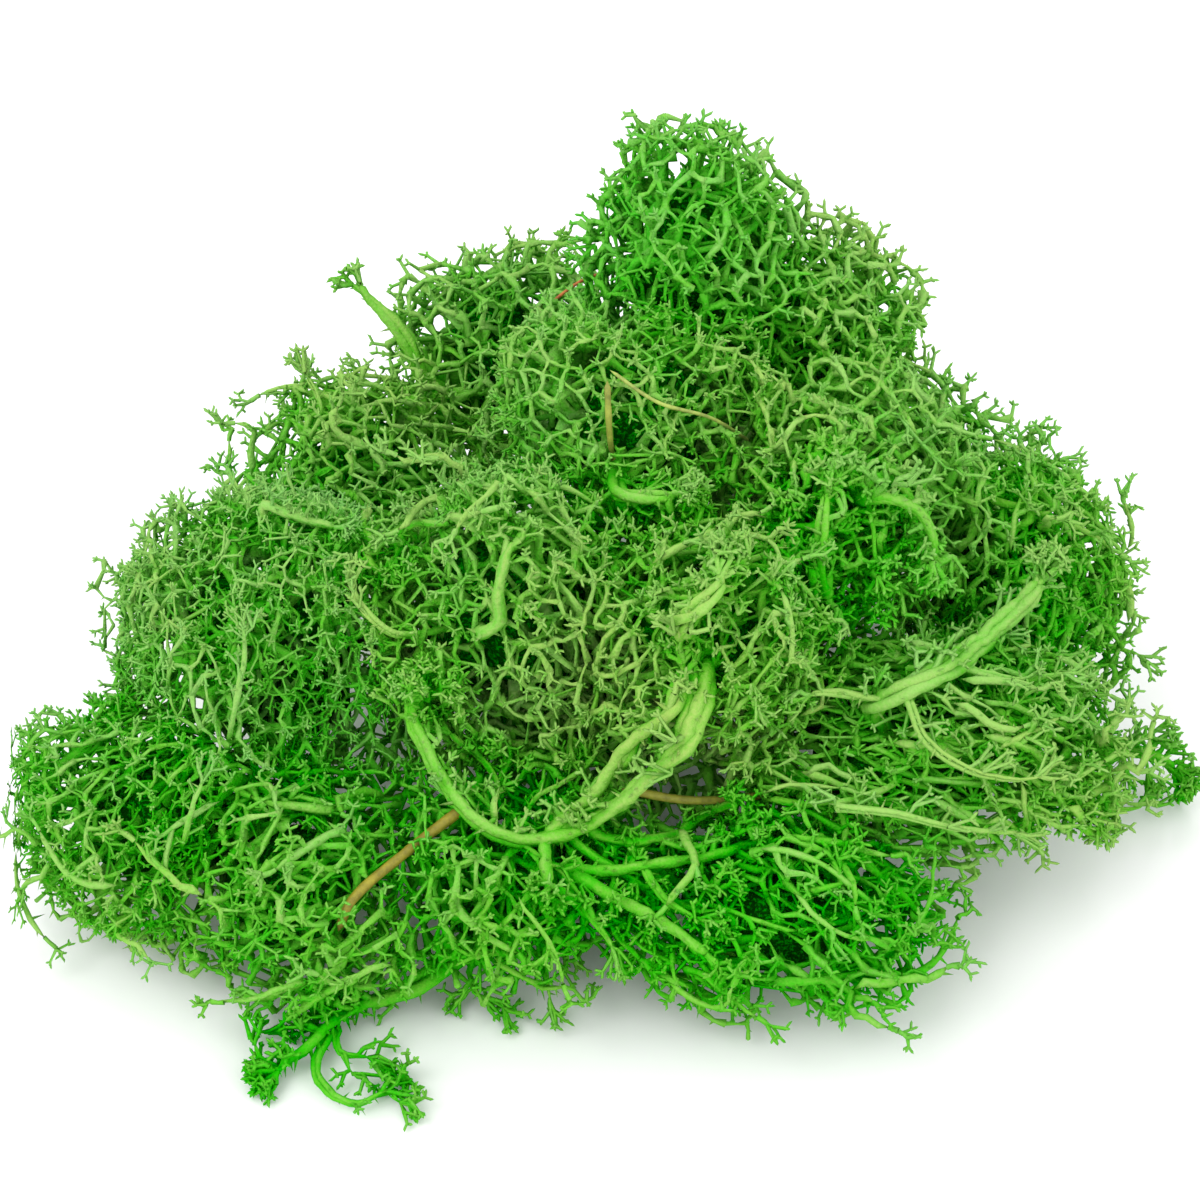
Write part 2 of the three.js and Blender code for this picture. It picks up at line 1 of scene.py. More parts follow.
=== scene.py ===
"""A clump of preserved reindeer moss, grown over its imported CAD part.

Each tuft is grown again on the same ellipsoid, with the same main branches to the same tips, and each tip
becomes a little dome of fine forked twigs that end in stars of prongs. A net of struts joins the tips. The
thick bare stems, the stray sprigs and the dry straws run along the same curves as in the part. The scene is
in metres, and the numbers in the tables and the growing code are millimetres.
"""

import math

import bmesh
import bpy
import numpy as np
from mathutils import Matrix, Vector


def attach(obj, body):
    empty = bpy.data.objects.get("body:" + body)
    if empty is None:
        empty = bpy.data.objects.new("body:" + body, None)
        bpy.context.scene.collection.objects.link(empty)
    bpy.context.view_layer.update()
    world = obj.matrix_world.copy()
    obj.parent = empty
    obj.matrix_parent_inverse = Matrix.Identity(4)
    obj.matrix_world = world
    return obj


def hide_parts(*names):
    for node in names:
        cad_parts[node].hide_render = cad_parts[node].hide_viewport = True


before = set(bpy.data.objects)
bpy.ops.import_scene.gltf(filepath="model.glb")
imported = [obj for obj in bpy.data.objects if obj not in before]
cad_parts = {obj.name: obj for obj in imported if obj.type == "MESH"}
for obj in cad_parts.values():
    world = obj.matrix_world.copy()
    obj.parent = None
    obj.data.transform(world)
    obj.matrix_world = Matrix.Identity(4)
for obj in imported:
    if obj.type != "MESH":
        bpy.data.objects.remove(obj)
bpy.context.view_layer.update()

bl_info = {
    "name": "Reindeer moss clump",
    "version": (1, 0, 0),
    "blender": (4, 5, 0),
    "location": "3D View > Sidebar > Moss",
    "description": "Grows a clump of preserved reindeer moss and its stage",
    "category": "Add Mesh",
}

MM = 0.001  # metres
TURN = 6.28  # a full turn, nearly
GOLDEN_ANGLE = 2.39996

# ---------------------------------------------------------------- the clump's layout, mm

# name: middle, radii, tips, seed, and the tuft's look
TUFTS = {
    "heart_tuft": ((0, 3, 12), (22, 20, 13), 20, 1, "inner"),
    "crown_tuft": ((3, 14, 37), (15, 13, 13), 42, 2, "fine"),
    "right_mid_tuft": ((24, 8, 31), (14, 14, 14), 42, 7, "open"),
    "shoulder_tuft": ((21.5, 30, 36), (12, 12, 13), 40, 4, "open"),
    "peak_tuft": ((9.5, 28, 45.5), (11, 12, 17), 44, 3, "peak"),
    "ridge_left_tuft": ((-25, 24, 20), (14, 12.5, 12.5), 36, 6, "plain"),
    "back_left_tuft": ((-10, 43, 24), (13.5, 13, 14), 36, 5, "back"),
    "back_right_tuft": ((33.5, 34, 14.5), (13, 13, 13), 36, 8, "back"),
    "back_tuft": ((10, 45, 12), (18, 13, 13), 36, 9, "back"),
    "left_dome_tuft": ((-32.5, -3, 21), (17, 16, 17), 50, 10, "dense"),
    "left_front_tuft": ((-43, -17, 11.5), (15.5, 13, 12), 40, 11, "soft"),
    "front_left_tuft": ((-29, -25, 10), (13, 12, 11), 36, 12, "plain"),
    "centre_tuft": ((-9, -6, 28), (14, 13, 14), 42, 13, "tangled"),
    "mid_tuft": ((10, -10, 29), (13, 12, 12), 36, 14, "tangled"),
    "right_dome_tuft": ((42.5, 9, 17.5), (12.5, 12.5, 16), 40, 15, "plain"),
    "combed_tuft": ((30.5, -13, 16), (19, 11.5, 11), 34, 16, "combed"),
    "front_right_tuft": ((16.5, -27, 9), (16, 11.5, 9), 36, 17, "deep"),
    "front_mid_tuft": ((-9, -24.5, 10), (14, 11.5, 10), 34, 18, "deep"),
}

# a look: stars on each tip's dome, sprouts on each outer fork of the net, radii of a twig and of the net's
# struts, length of a star's prongs, curl of its branches, width of the net's holes, and shifts of hue and
# light
LOOKS = {
    "dense": (32, 3, 0.14, 0.2, 0.55, 0.1, 1.5, -0.1, 0.18),
    "soft": (16, 3, 0.15, 0.2, 0.6, 0.12, 1.5, -0.06, 0.07),
    "peak": (8, 0.8, 0.2, 0.29, 0.78, 0.16, 1.75, -0.12, -0.1),
    "fine": (8, 2, 0.16, 0.23, 0.62, 0.12, 1.5, -0.01, 0.03),
    "plain": (8, 1, 0.18, 0.27, 0.75, 0.14, 1.7, 0.0, 0.0),
    "open": (8, 0.8, 0.2, 0.29, 0.78, 0.16, 1.75, 0.0, 0.0),
    "tangled": (8, 2, 0.17, 0.25, 0.75, 0.2, 1.6, 0.08, 0.12),
    "combed": (8, 1, 0.18, 0.25, 0.75, 0.12, 1.6, 0.02, 0.15),
    # the deep look's lower light is partly painted shade over the low front tufts
    "deep": (8, 1, 0.18, 0.27, 0.72, 0.14, 1.75, -0.04, -0.06),
    "back": (4, 1, 0.2, 0.32, 0.85, 0.14, 2.4, 0.0, -0.04),
    "inner": (4, 1, 0.2, 0.32, 0.85, 0.14, 2.6, 0.0, 0.0),
}

# the way that a combed tuft's branches run, how much longer its net's holes are that way, and how many long
# branches lie along it
FLOWS = {
    "combed_tuft": ((1, -0.1, -0.2), 3.0, 105),
    "right_dome_tuft": ((0.3, -0.1, 1), 2.2, 40),
    "left_dome_tuft": ((-0.1, -0.4, -1), 1.6, 12),
    "left_front_tuft": ((-0.7, -0.5, -0.3), 1.8, 16),
    "front_left_tuft": ((-0.8, -0.6, 0), 1.8, 20),
    "front_right_tuft": ((0.8, -0.5, -0.2), 2.0, 40),
    "front_mid_tuft": ((0.1, -0.8, -0.6), 1.4, 10),
    "mid_tuft": ((0.6, 0.3, 0.7), 1.8, 24),
    "centre_tuft": ((-0.4, 0.2, 0.9), 1.6, 16),
    "ridge_left_tuft": ((-0.8, 0.2, 0.5), 1.5, 12),
}

# bare stems and stray sprigs of each tuft: radii at both ends, and the points of the curve
STEMS = {
    "mid_tuft": [
        ((1.2, 0.7), ((10, -11.5, 30), (9.5, -21, 32), (8, -24.5, 28), (4.5, -25, 23.5), (0, -26, 19.5),
         (-6, -27.5, 18.5), (-11, -26.5, 19.5), (-15, -22.5, 22), (-17.5, -19, 26), (-17.5, -17, 31))),
        ((1.0, 0.7), ((-5, -27.3, 18.6), (0, -23.8, 22), (3, -23, 27), (7, -22.5, 31.5), (8.5, -16, 34))),
        ((1.0, 0.8), ((11, -10.5, 30.5), (7, -20, 38.5), (10, -19, 41.5), (12, -15, 43.5))),
    ],
    "front_right_tuft": [
        ((1.1, 0.8), ((-4, -28.5, 16), (0, -29.2, 16.2), (4, -28.8, 16.4), (9, -28, 16.4),
         (15, -25.5, 15.5), (17.5, -27, 10))),
        ((1.0, 0.6), ((-4, -28.5, 16), (1, -31.5, 15.6), (5, -33.5, 14.6), (8.5, -35.5, 13.4),
         (13, -38, 11))),
        ((0.8, 0.5), ((4, -28.8, 16.4), (6, -32, 15.4), (9.5, -34, 14.5), (13, -34.5, 14))),
        ((0.8, 0.5), ((-4, -28.5, 16), (-1.5, -32.5, 14.6), (1, -35.5, 12), (1, -38, 8.5))),
    ],
    "combed_tuft": [
        ((1.0, 0.9), ((29.5, -13.5, 17.5), (26, -16.5, 25), (29, -16.5, 27.8), (34, -13.5, 28.4),
         (38.5, -8.5, 28.6), (42, -6.5, 31.5), (43, -4.8, 35.5))),
        ((0.9, 0.6), ((27, -16.5, 26.5), (21, -18.5, 29), (16, -20.5, 28.5))),
        ((0.9, 0.6), ((34, -13.5, 28.4), (39, -14.5, 27), (44, -11.5, 25.2), (49, -9, 24.5))),
        ((0.8, 0.5), ((29, -16.5, 27.5), (30.5, -22, 26), (34, -24, 24.5), (39, -24, 23),
         (45, -21.5, 21.5))),
        ((0.9, 0.5), ((30, -14, 17), (27, -23, 20.5), (22, -26.5, 21.5), (28, -27.5, 21.5), (35, -27.5, 20),
         (43, -25.5, 17.5))),
    ],
    "right_mid_tuft": [
        ((1.1, 0.6), ((24, 7.5, 31), (22, -7, 31), (21, -9.5, 36), (21.5, -6.5, 41.5), (22, -3, 45))),
        ((1.0, 0.6), ((25.5, 7.5, 32.5), (25, -4, 41), (27.5, -5.5, 42.5), (30.5, -6, 40.5),
         (31.5, -7.5, 37), (30.5, -9, 34))),
    ],
    "crown_tuft": [
        ((1.1, 0.7), ((3, 12.5, 37), (2, -1, 39), (6, -3, 40), (10, -3, 42))),
    ],
    "centre_tuft": [
        ((0.9, 0.5), ((-10, -7, 29), (-20, -14, 33), (-23.5, -13, 37), (-23, -10, 41))),
    ],
    "back_left_tuft": [
        ((1.3, 0.8), ((-11, 42, 24), (-16, 37, 24.5), (-18.5, 36, 26), (-20, 37, 29), (-22, 38.5, 31.5),
         (-24.5, 40, 33.5), (-26, 41, 35.3), (-26.6, 41.5, 36.8))),
        ((0.7, 0.45), ((-25.2, 40.5, 34.3), (-27.4, 41, 35.5), (-28.7, 40.5, 35.3))),
        ((0.7, 0.4), ((-5.7, 46, 29), (-5.7, 50, 32), (-4.9, 51, 33.3), (-4.9, 51, 35.2))),
        ((0.6, 0.4), ((-5.7, 50, 32), (-6.7, 50, 33.7), (-7.3, 50, 34.9))),
    ],
    "left_dome_tuft": [
        ((0.9, 0.5), ((-33, -5, 22), (-35.5, -18.5, 23), (-34.5, -20, 29), (-33.5, -17.5, 34),
         (-33, -14, 38.5))),
    ],
    "left_front_tuft": [
        ((0.9, 0.5), ((-42, -18, 12), (-39.5, -27, 17), (-38, -26.5, 22), (-35.5, -23.5, 27))),
    ],
    "front_mid_tuft": [
        ((1.25, 0.6), ((-9.5, -25, 9.5), (-12.7, -30.4, 7), (-15.2, -31.5, 5.5), (-17.8, -32.8, 4),
         (-20.4, -33.4, 3), (-22.9, -33.9, 2.5), (-25.9, -36.3, 2), (-27.8, -38.5, 1.7),
         (-30.4, -40.8, 1.4), (-33.3, -42.9, 1))),
        ((0.7, 0.5), ((-30, -40.5, 1.4), (-32, -39.7, 1.5), (-32.8, -38.3, 2), (-33.3, -36.4, 2.2),
         (-35, -34.8, 2))),
        ((0.8, 0.5), ((-25.5, -36, 2), (-26.6, -41, 1.4), (-24.9, -43.8, 1.2), (-22.2, -44.8, 1),
         (-19.9, -43.6, 1.4), (-17.4, -43.5, 1.2), (-15.7, -42.6, 1))),
        ((0.8, 0.5), ((-25, -35.7, 2), (-24.7, -38.7, 1.8), (-21.7, -39.2, 1.6), (-19.1, -39.4, 1.4),
         (-17.7, -38.7, 1.2))),
        ((0.9, 0.5), ((-10, -25, 9.5), (-11.9, -30.7, 7), (-12.2, -31.7, 4), (-10.7, -31.9, 2.5),
         (-9.2, -33.1, 1.6), (-8.8, -35, 1))),
        ((0.8, 0.5), ((-8, -25, 9.5), (-5.7, -30.9, 9), (-5.4, -31.6, 7.5), (-5, -32.3, 4.5),
         (-4.7, -33.7, 2.2), (-3.9, -35.3, 1), (-2.9, -35.6, 1))),
        ((0.6, 0.4), ((-33.3, -36.4, 2.2), (-32.1, -36.2, 1.6), (-30.4, -36.2, 1.4), (-29.2, -36, 1.8))),
        ((0.6, 0.4), ((-24.7, -38.7, 1.8), (-23.6, -41, 1.6), (-22.4, -42.7, 1.2), (-22.8, -45.2, 1))),
        ((0.6, 0.4), ((-21.7, -39.2, 1.6), (-20, -41.6, 1.6), (-19.2, -43.1, 1.2))),
        ((0.5, 0.4), ((-19.1, -39.4, 1.4), (-18.5, -40.7, 1.2), (-17.8, -42.3, 1))),
        ((0.5, 0.4), ((-19.9, -43.6, 1.4), (-18.7, -44.4, 1), (-18, -46.2, 0.8))),
        ((0.6, 0.4), ((-12.2, -31.7, 3.5), (-12.6, -32, 2.6), (-13.8, -32.7, 1.6))),
        ((0.6, 0.4), ((-10.2, -32.2, 2.1), (-8.9, -33.8, 1.4), (-7.3, -34.6, 1))),
        ((0.6, 0.4), ((-3.5, -26.5, 9), (-3.2, -28.3, 7), (-2.9, -29.7, 4), (-1.4, -28.2, 3),
         (-1.2, -29.3, 2))),
    ],
    "right_dome_tuft": [
        ((1, 0.6), ((43, 8, 16), (46, 2.5, 10), (47.9, -0.8, 6.5), (52.3, -1, 6), (56.9, -1.9, 5),
         (59.4, -2.5, 4), (60.4, -3.7, 3.6), (62.3, -3.8, 3.4))),
        ((0.8, 0.5), ((46.5, 1.5, 9), (47.5, -3, 4.5), (50, -5, 3), (52.6, -5.9, 2.5), (54.9, -5.9, 2.2),
         (57.3, -4.9, 2.6), (60, -3.8, 3.5))),
        ((0.9, 0.6), ((43.5, 9, 17), (48, 7, 14.5), (54, 5, 14), (56.8, 4.3, 13.5), (59.7, 3.3, 13))),
        ((0.7, 0.4), ((52, -1, 6), (55, -1, 7), (55.4, -0.3, 8.5), (56.7, 0.2, 9))),
        ((0.6, 0.4), ((55, -1, 7), (56, -1, 7.3), (56.9, -0.9, 7.5))),
        ((0.5, 0.4), ((52.6, -5.9, 2.5), (53.3, -6.3, 1.6), (53, -6.9, 0.8))),
        ((0.6, 0.4), ((54.1, -1.4, 5.8), (54.6, -2.3, 4.5), (54.9, -3.7, 3.4), (54.9, -5.9, 2.2))),
        ((0.6, 0.4), ((56.9, -1.9, 5), (56.9, -3.2, 3.8), (55.9, -5.3, 2.4))),
    ],
    "ridge_left_tuft": [
        ((0.7, 0.4), ((-29, 24, 30), (-30.4, 26, 32.9), (-31.6, 27, 34), (-33.1, 26, 34.3),
         (-33.4, 26, 35.7))),
    ],
}

# sturdy bare limbs that lie on the skin of each tuft: radii at both ends, and the pixels that a limb runs
# through in the stage's picture
LIMBS = {
    "front_right_tuft": [
        ((0.55, 0.35), ((556, 822), (580, 824), (600, 833), (622, 839), (655, 839), (680, 832), (700, 815),
         (725, 805), (750, 795))),
        ((0.45, 0.3), ((662, 842), (682, 846), (702, 844), (725, 836), (745, 828), (762, 824))),
        ((0.35, 0.25), ((690, 846), (693, 860), (695, 880), (698, 890), (715, 890), (732, 885),
         (748, 880))),
        ((0.5, 0.3), ((622, 841), (636, 852), (645, 865), (655, 874), (668, 886), (676, 902), (690, 917),
         (703, 928), (716, 936), (732, 943))),
        ((0.5, 0.3), ((562, 832), (580, 845), (600, 860), (620, 872), (640, 885), (652, 896), (650, 908),
         (646, 920), (655, 932), (664, 945))),
        ((0.45, 0.3), ((574, 858), (590, 878), (603, 892), (613, 902), (609, 915), (613, 930), (626, 945),
         (641, 960), (655, 975), (668, 985))),
        ((0.5, 0.3), ((560, 893), (575, 906), (590, 921), (601, 935), (612, 950), (624, 965), (634, 976))),
    ],
    "front_mid_tuft": [
        ((0.95, 0.75), ((545, 835), (546, 855), (549, 880), (551, 900), (547, 918))),
    ],
    "right_mid_tuft": [
        ((0.65, 0.7), ((829, 468), (826, 480), (825, 500), (823, 525), (823, 550), (821, 575), (823, 600),
         (830, 615), (838, 630))),
        ((0.4, 0.45), ((824, 522), (810, 528), (790, 530), (772, 528), (762, 520))),
        ((0.55, 0.45), ((796, 530), (797, 545), (800, 556), (786, 568), (778, 580), (770, 590))),
        ((0.25, 0.4), ((745, 465), (757, 475), (770, 488), (785, 495), (798, 490), (808, 480), (818, 470),
         (830, 467))),
        ((0.3, 0.35), ((788, 495), (794, 510), (797, 528))),
        ((0.45, 0.55), ((830, 467), (845, 470), (858, 480), (864, 492), (872, 482), (884, 480), (897, 484),
         (906, 492), (913, 507), (914, 525), (912, 545), (914, 568))),
        ((0.55, 0.35), ((912, 530), (900, 545), (890, 560), (881, 574), (876, 586))),
        ((0.35, 0.2), ((866, 496), (869, 512), (873, 532), (876, 553), (880, 576), (885, 594), (893, 602))),
        ((0.45, 0.35), ((802, 556), (815, 541), (830, 534), (846, 527), (862, 517))),
        ((0.45, 0.3), ((842, 470), (846, 455), (850, 440), (853, 425))),
        ((0.45, 0.3), ((827, 470), (821, 455), (819, 440), (823, 425))),
        ((0.3, 0.2), ((850, 628), (858, 616), (870, 612), (882, 608), (892, 614))),
    ],
    "mid_tuft": [
        ((0.4, 0.3), ((494, 806), (497, 786), (491, 770), (480, 758), (468, 749), (455, 740), (443, 730),
         (432, 714), (426, 700))),
        ((0.35, 0.25), ((497, 786), (505, 771), (504, 756), (500, 742), (493, 730))),
        ((0.35, 0.25), ((530, 810), (541, 796), (556, 788), (572, 780), (585, 769), (592, 756),
         (600, 744))),
        ((0.65, 0.35), ((716, 548), (724, 560), (720, 578), (710, 590), (696, 598), (680, 600), (664, 608),
         (648, 616))),
        ((0.35, 0.25), ((424, 702), (432, 692), (444, 688), (456, 690), (464, 700))),
    ],
    "centre_tuft": [
        ((0.45, 0.3), ((424, 734), (425, 715), (424, 695), (427, 672), (427, 648))),
        ((0.65, 0.4), ((376, 478), (379, 495), (369, 512), (366, 530), (380, 538), (400, 530), (420, 522),
         (440, 524), (460, 516), (470, 503))),
        ((0.5, 0.35), ((404, 528), (399, 548), (392, 570), (389, 592))),
        ((0.45, 0.3), ((366, 548), (376, 566), (390, 572), (401, 556), (404, 540))),
        ((0.9, 0.55), ((482, 634), (500, 622), (498, 600), (502, 575), (510, 550), (526, 532), (541, 517))),
    ],
    "crown_tuft": [
        ((0.8, 0.4), ((646, 502), (654, 490), (663, 477), (673, 467))),
        ((0.8, 0.4), ((626, 500), (650, 503), (676, 508), (700, 516), (716, 524))),
    ],
    "left_dome_tuft": [
        ((0.55, 0.35), ((262, 505), (285, 512), (310, 520), (340, 528), (362, 540))),
    ],
}

# where the clump is hollow: the bottom of each opening and its half width
HOLLOWS = [
    (16.8, -8.5, 32.9, 1.4), (15.6, -6.1, 34.1, 1.3), (16.8, -2.2, 36.4, 1.3), (17.7, -16.9, 34.8, 1.2),
    (27.3, -1.6, 35.7, 1.4), (23.5, -1.9, 38.8, 1), (19.6, -2.8, 38.1, 1), (8.1, -12.1, 38.6, 1.4),
    (4.1, 4.8, 40.9, 1.4), (6.4, 10.3, 44.1, 1), (-7.8, -7, 40.6, 1.2), (-6.1, -16.8, 22, 1.4),
    (-15.1, -12.4, 31.8, 1.6), (-7.5, -31, 16.5, 1.4), (-7.8, -28.6, 17, 1), (6.8, -27.1, 13.5, 1.2),
    (-3.3, -28.3, 14.1, 1.2), (-25.1, -20.3, 16.1, 1.4), (19.4, 4, 42.1, 1.2), (-3.3, -16.1, 25.7, 1.2),
    (13, -14.7, 39, 1.2), (0.8, -26.6, 13.7, 1.2), (2.1, 5.7, 41.7, 1.2), (-5, -9.4, 38.9, 1),
    (14, -31.2, 12.3, 1.4), (-16.8, 0.6, 35, 1.3), (-3.5, -14.7, 31.1, 1.3), (-10.1, -7.1, 41, 1.2),
    (-8.1, -14.9, 26, 1.2), (6, -4, 34.8, 1.1), (-21.6, -12.5, 20.1, 1.4), (-14.8, -20, 14.3, 1.2),
    (7.8, -30.7, 10.8, 1), (13.3, -34.3, 10.5, 1), (-26.5, -25.6, 18, 1.6), (-28.6, -27.3, 18, 1.4),
    (-32.1, -32.2, 11.4, 1.6),
]

# name: radii at both ends, paleness, and the points of the curve
STRAWS = {
    "brown_straw": ((0.45, 0.55), 0.0, ((-24.5, -34, 13), (-23.3, -32, 15), (-18, -27.5, 17.3),
                                        (-12.4, -23.5, 19.5))),
    "pale_straw": ((0.45, 0.3), 0.45, ((2, -21.5, 19.5), (9, -21.5, 18), (20, -17.5, 15.8),
                                       (28, -14.5, 15.8))),
    "upright_needle": ((0.34, 0.26), 0.7, ((0.7, 4.8, 48.5), (0.9, 3.4, 43.5), (1.4, 5.5, 37.5))),
    "grass_blade": ((0.2, 0.17), 1.0, ((0.9, 6.4, 48.6), (5.5, 4, 46.5), (10.5, 5, 44), (15, 9, 38))),
    "red_needle": ((0.2, 0.17), 0.5, ((-7, 41, 29), (-5, 36, 36.5), (-1.5, 37, 38.8), (2.5, 39, 38.6))),
}

# the part's own rules for its branches
TWIG_RADIUS = 0.55
THICKENING = 0.34
REACH = 0.46
WANDER = 0.14
BUSH_TIPS = 7
CORE_SHARE = 0.2
SQUEEZE = 3.5
HIDDEN_SHARE = 0.86
MEETING_GROWTH = 1.2
CELL_GAP = 0.17
GROUND_TIP = 0.3
SUNK_TIP = -4

TO_FRONT = np.array((0, -0.77, 0.64))  # the way out of the clump's front and top
THICK_STEM = 1.0  # stems as thick as this show bare
STEM_ROOM = 0.35  # how far from their sides the twigs over them keep
LONGEST_MOVE = 2.5  # how far at most a dome's tip is moved to lie just under the skin
VALLEY = 1.8  # how softly the skin rounds over from tuft to tuft
SWELLS = ((17, 1.7), (8, 1.2))  # length and height of the swells that break up the skin into cushions
LEFT_END = -55.5  # where the left end is drawn in
LEFT_ROOM = 2.6  # and into how much room

HEAP_BOX = ((-62, -48, 0.5), (64, 62, 68))  # corners of a box that holds the heap
SKIN_TRIES = 40000  # random places to choose from, all over the skin
NET_TRIES = 44000  # in a tuft for its net
FLOW_TRIES = 6000  # and on it for the branches that lie along the flow
BACK_HOLES = 1.35  # how much wider the net's holes are at the back
NET_TOP = 0.5  # depth of the outer net's top
NET_LAYER = 1.75  # its thickness in holes
DEEP_NET = (3.0, 7.5, 0.42, 0)  # the inner net's least and greatest depth, struts' radius and sprouts
CORE_SIZE = 0.52  # a core's size against its tuft's ellipsoid
STEP = 0.8  # length of a stem's pieces
LYING_STEP = 1.3  # and of the pieces of the branches that lie along the flow
LIMB_DEPTH = 0.3  # how deep under the skin a limb lies
LIMB_ROOT = 2.2  # how much deeper its root goes in
LIMB_BACK = 6.5  # limbs are left off behind this

# how a bare stem grows: reach and spread of the domes on it, stars on each, how stout their twigs are, its
# cords, its thickness against the part's, the pieces left off at its end, and its shift of light
HABITS = {
    "lone": (1.6, 0.8, 2, 1.2, 3, 1.0, 2, -0.8),
    "thick": (3.2, 1.5, 4, 1.25, 3, 1.0, 4, -0.9),
    "fan": (2.2, 1.1, 4, 1.1, 1, 0.62, 4, -0.45),
    "limb": (2.2, 1.1, 4, 1.1, 1, 0.9, 4, -0.45),
    "thin": (2.4, 1.0, 2, 1.1, 2, 0.6, 5, -0.45),
}

# how much light and hue follow the way out, which paints shade deeper in, the tone, the twigs' cluster and
# the heap's slow swirl
LIGHT_SHARES = (0.12, 0.07, 0.16, 0.06)
HUE_SHARES = (0.15, 0.14, 0.16, 0.1)
HUE = 0.58
SKIN_LAYER = 6.5  # depth over which the moss goes from its look at the skin to the painted shade of its inner look
MID_HEIGHT = 16  # the heap is painted lighter above this height and darker below it, as light and shade
PAINTED_HEIGHT_LIGHT = 0.08  # by how much
PAINTED_TOP_LIGHT = 0.09  # painted light and shade: how much lighter a strand's side towards TO_LIGHT is than its axis, and its underside darker
TO_LIGHT = (0, -0.4, 0.9)
COOL_TINT = (0.62, 1.0, 1.0)  # what the least hue does to a colour
WARM_TINT = (1.4, 1.0, 0.75)  # and the greatest
LEAST_LIGHT = 0.08  # light of the darkest strands
CORE_LIGHT = -1.0  # marks the cores, which are painted darker still, as shade
# how light is spread: the grid's cell, how many vertices nearly fill one and how much a full one covers,
# the ways in which light is looked for and how many cells far, and the light that goes with each openness
CELL = 0.7
FULL_CELL = 10
FULL_COVER = 1.4
LIGHT_WAYS = [(x, y, z) for x in (-1, 0, 1) for y in (-1, 0, 1) for z in (0, 1) if x or y or z]
LIGHT_STEPS = 9
OPEN_RANGE = (0.1, 0.28, 0.5, 0.7, 0.95)
LIGHT_RANGE = (-0.05, 0.27, 0.57, 0.72, 0.78)

# the view that the stage shows, mm: its aim is over the middle of the floor, and a pixel is as wide as this
# at the aim's distance
VIEW_HEIGHT = math.radians(40)
VIEW_DISTANCE = 283.3
VIEW_AIM = 25
PIXEL = 0.1
MIDDLE_PIXEL = 600
SIGHT_RANGE = (190, 340, 0.25)  # distances at which the skin is looked for

# the stage, in metres: the lamps' names, places, sizes and powers, and the rest of its values
LAMPS = (
    ("Key", (-0.35, -0.3, 0.6), 0.4, 2.1),
    ("Fill", (0.5, -0.35, 0.4), 0.5, 0.8),
)
LAMP_AIM = 0.02  # height that the lamps shine on
SKY_STRENGTH = 1.31
FLOOR_REACH = 3
FLOOR_GAP = 0.0001
FLOOR_COLOUR = (0.9, 0.9, 0.9, 1)
FLOOR_ROUGHNESS = 0.15
LENS = 85  # in its own mm
NEAREST_SEEN = 0.01


# ---------------------------------------------------------------- the part's branching, repeated

def wrapped(value):
    return value & 0xFFFFFFFF


def chance(seed, index, channel):
    """A repeatable number from 0 to 1, the same as the part draws."""
    h = (wrapped((seed + 1) * 0x9E3779B1) ^ wrapped((index + 1) * 0x85EBCA6B)
         ^ wrapped((channel + 1) * 0xC2B2AE35))
    h = wrapped((h ^ (h >> 15)) * 0x2C1B3C6D)
    h = wrapped((h ^ (h >> 12)) * 0x297A2D39)
    return (h ^ (h >> 15)) / 2**32


def place_index(p):
    a, b, c = (math.floor(40 * x + 0.5) for x in p)
    return a + 7919 * b + 104729 * c


def in_mm(length):
    return round(length / MM, 3)


def unit(v):
    return v / np.maximum(np.linalg.norm(v, axis=-1, keepdims=True), 1e-12)


def cell_walls(name):
    """The flat walls between a tuft and its neighbours, as inward normals and offsets."""
    centre, radii = (np.array(x, float) for x in TUFTS[name][:2])
    walls = []
    for other, (its_centre, its_radii, *_) in TUFTS.items():
        between = np.array(its_centre, float) - centre
        mine = np.linalg.norm(between / radii)
        theirs = np.linalg.norm(between / np.array(its_radii, float))
        if other == name or theirs * mine / (mine + theirs) > MEETING_GROWTH:
            continue
        outward = unit(unit(between / radii**2) + unit(between / np.array(its_radii, float) ** 2))
        walls.append((-outward, -(centre + between * theirs / (mine + theirs)) @ outward))
    return walls


def push_inside(point, walls, depth):
    """The point, moved until it is so deep behind each wall."""
    for inward, offset in walls:
        inside = point @ inward - offset
        if inside < depth:
            point = point + inward * (depth - inside)
    return point


def depth_in(name, points):
    """How far out points lie in a tuft's ellipsoid: 0 at its middle and 1 on its surface."""
    return np.linalg.norm((points - np.array(TUFTS[name][0])) / np.array(TUFTS[name][1]), axis=-1)


def tips_over(name, walls):
    """The part's own tips, spread over a tuft's ellipsoid where no other tuft hides them."""
    centre, radii, tips, seed, _ = TUFTS[name]
    found = []
    for i in range(tips):
        height = 1 - (2 * (i + 0.5)) / tips
        ring = math.sqrt(1 - height * height)
        angle = i * math.pi * (3 - math.sqrt(5)) + 0.8 * chance(seed, i, 0)
        share = 0.84 + 0.22 * chance(seed, i, 1)
        tip = share * np.array((ring * math.cos(angle), ring * math.sin(angle), height)) * radii + centre
        if tip[2] < SUNK_TIP or any(tip @ inward - offset <= -SQUEEZE for inward, offset in walls):
            continue
        if any(other != name and depth_in(other, tip) < HIDDEN_SHARE for other in TUFTS):
            continue
        tip[2] = max(tip[2], GROUND_TIP)
        found.append(push_inside(tip, walls, CELL_GAP + TWIG_RADIUS))
    return np.array(found)


def halve(points):
    """Two halves of some points, parted across their longest side."""
    longest = np.ptp(points, axis=0).argmax()
    points = points[np.argsort(points[:, longest], kind="stable")]
    half = (len(points) + 1) // 2
    return points[:half], points[half:]


def in_groups(points, most):
    """Groups of neighbouring points, with at most so many in each."""
    if len(points) <= most:
        return [points]
    return [group for half in halve(points) for group in in_groups(half, most)]


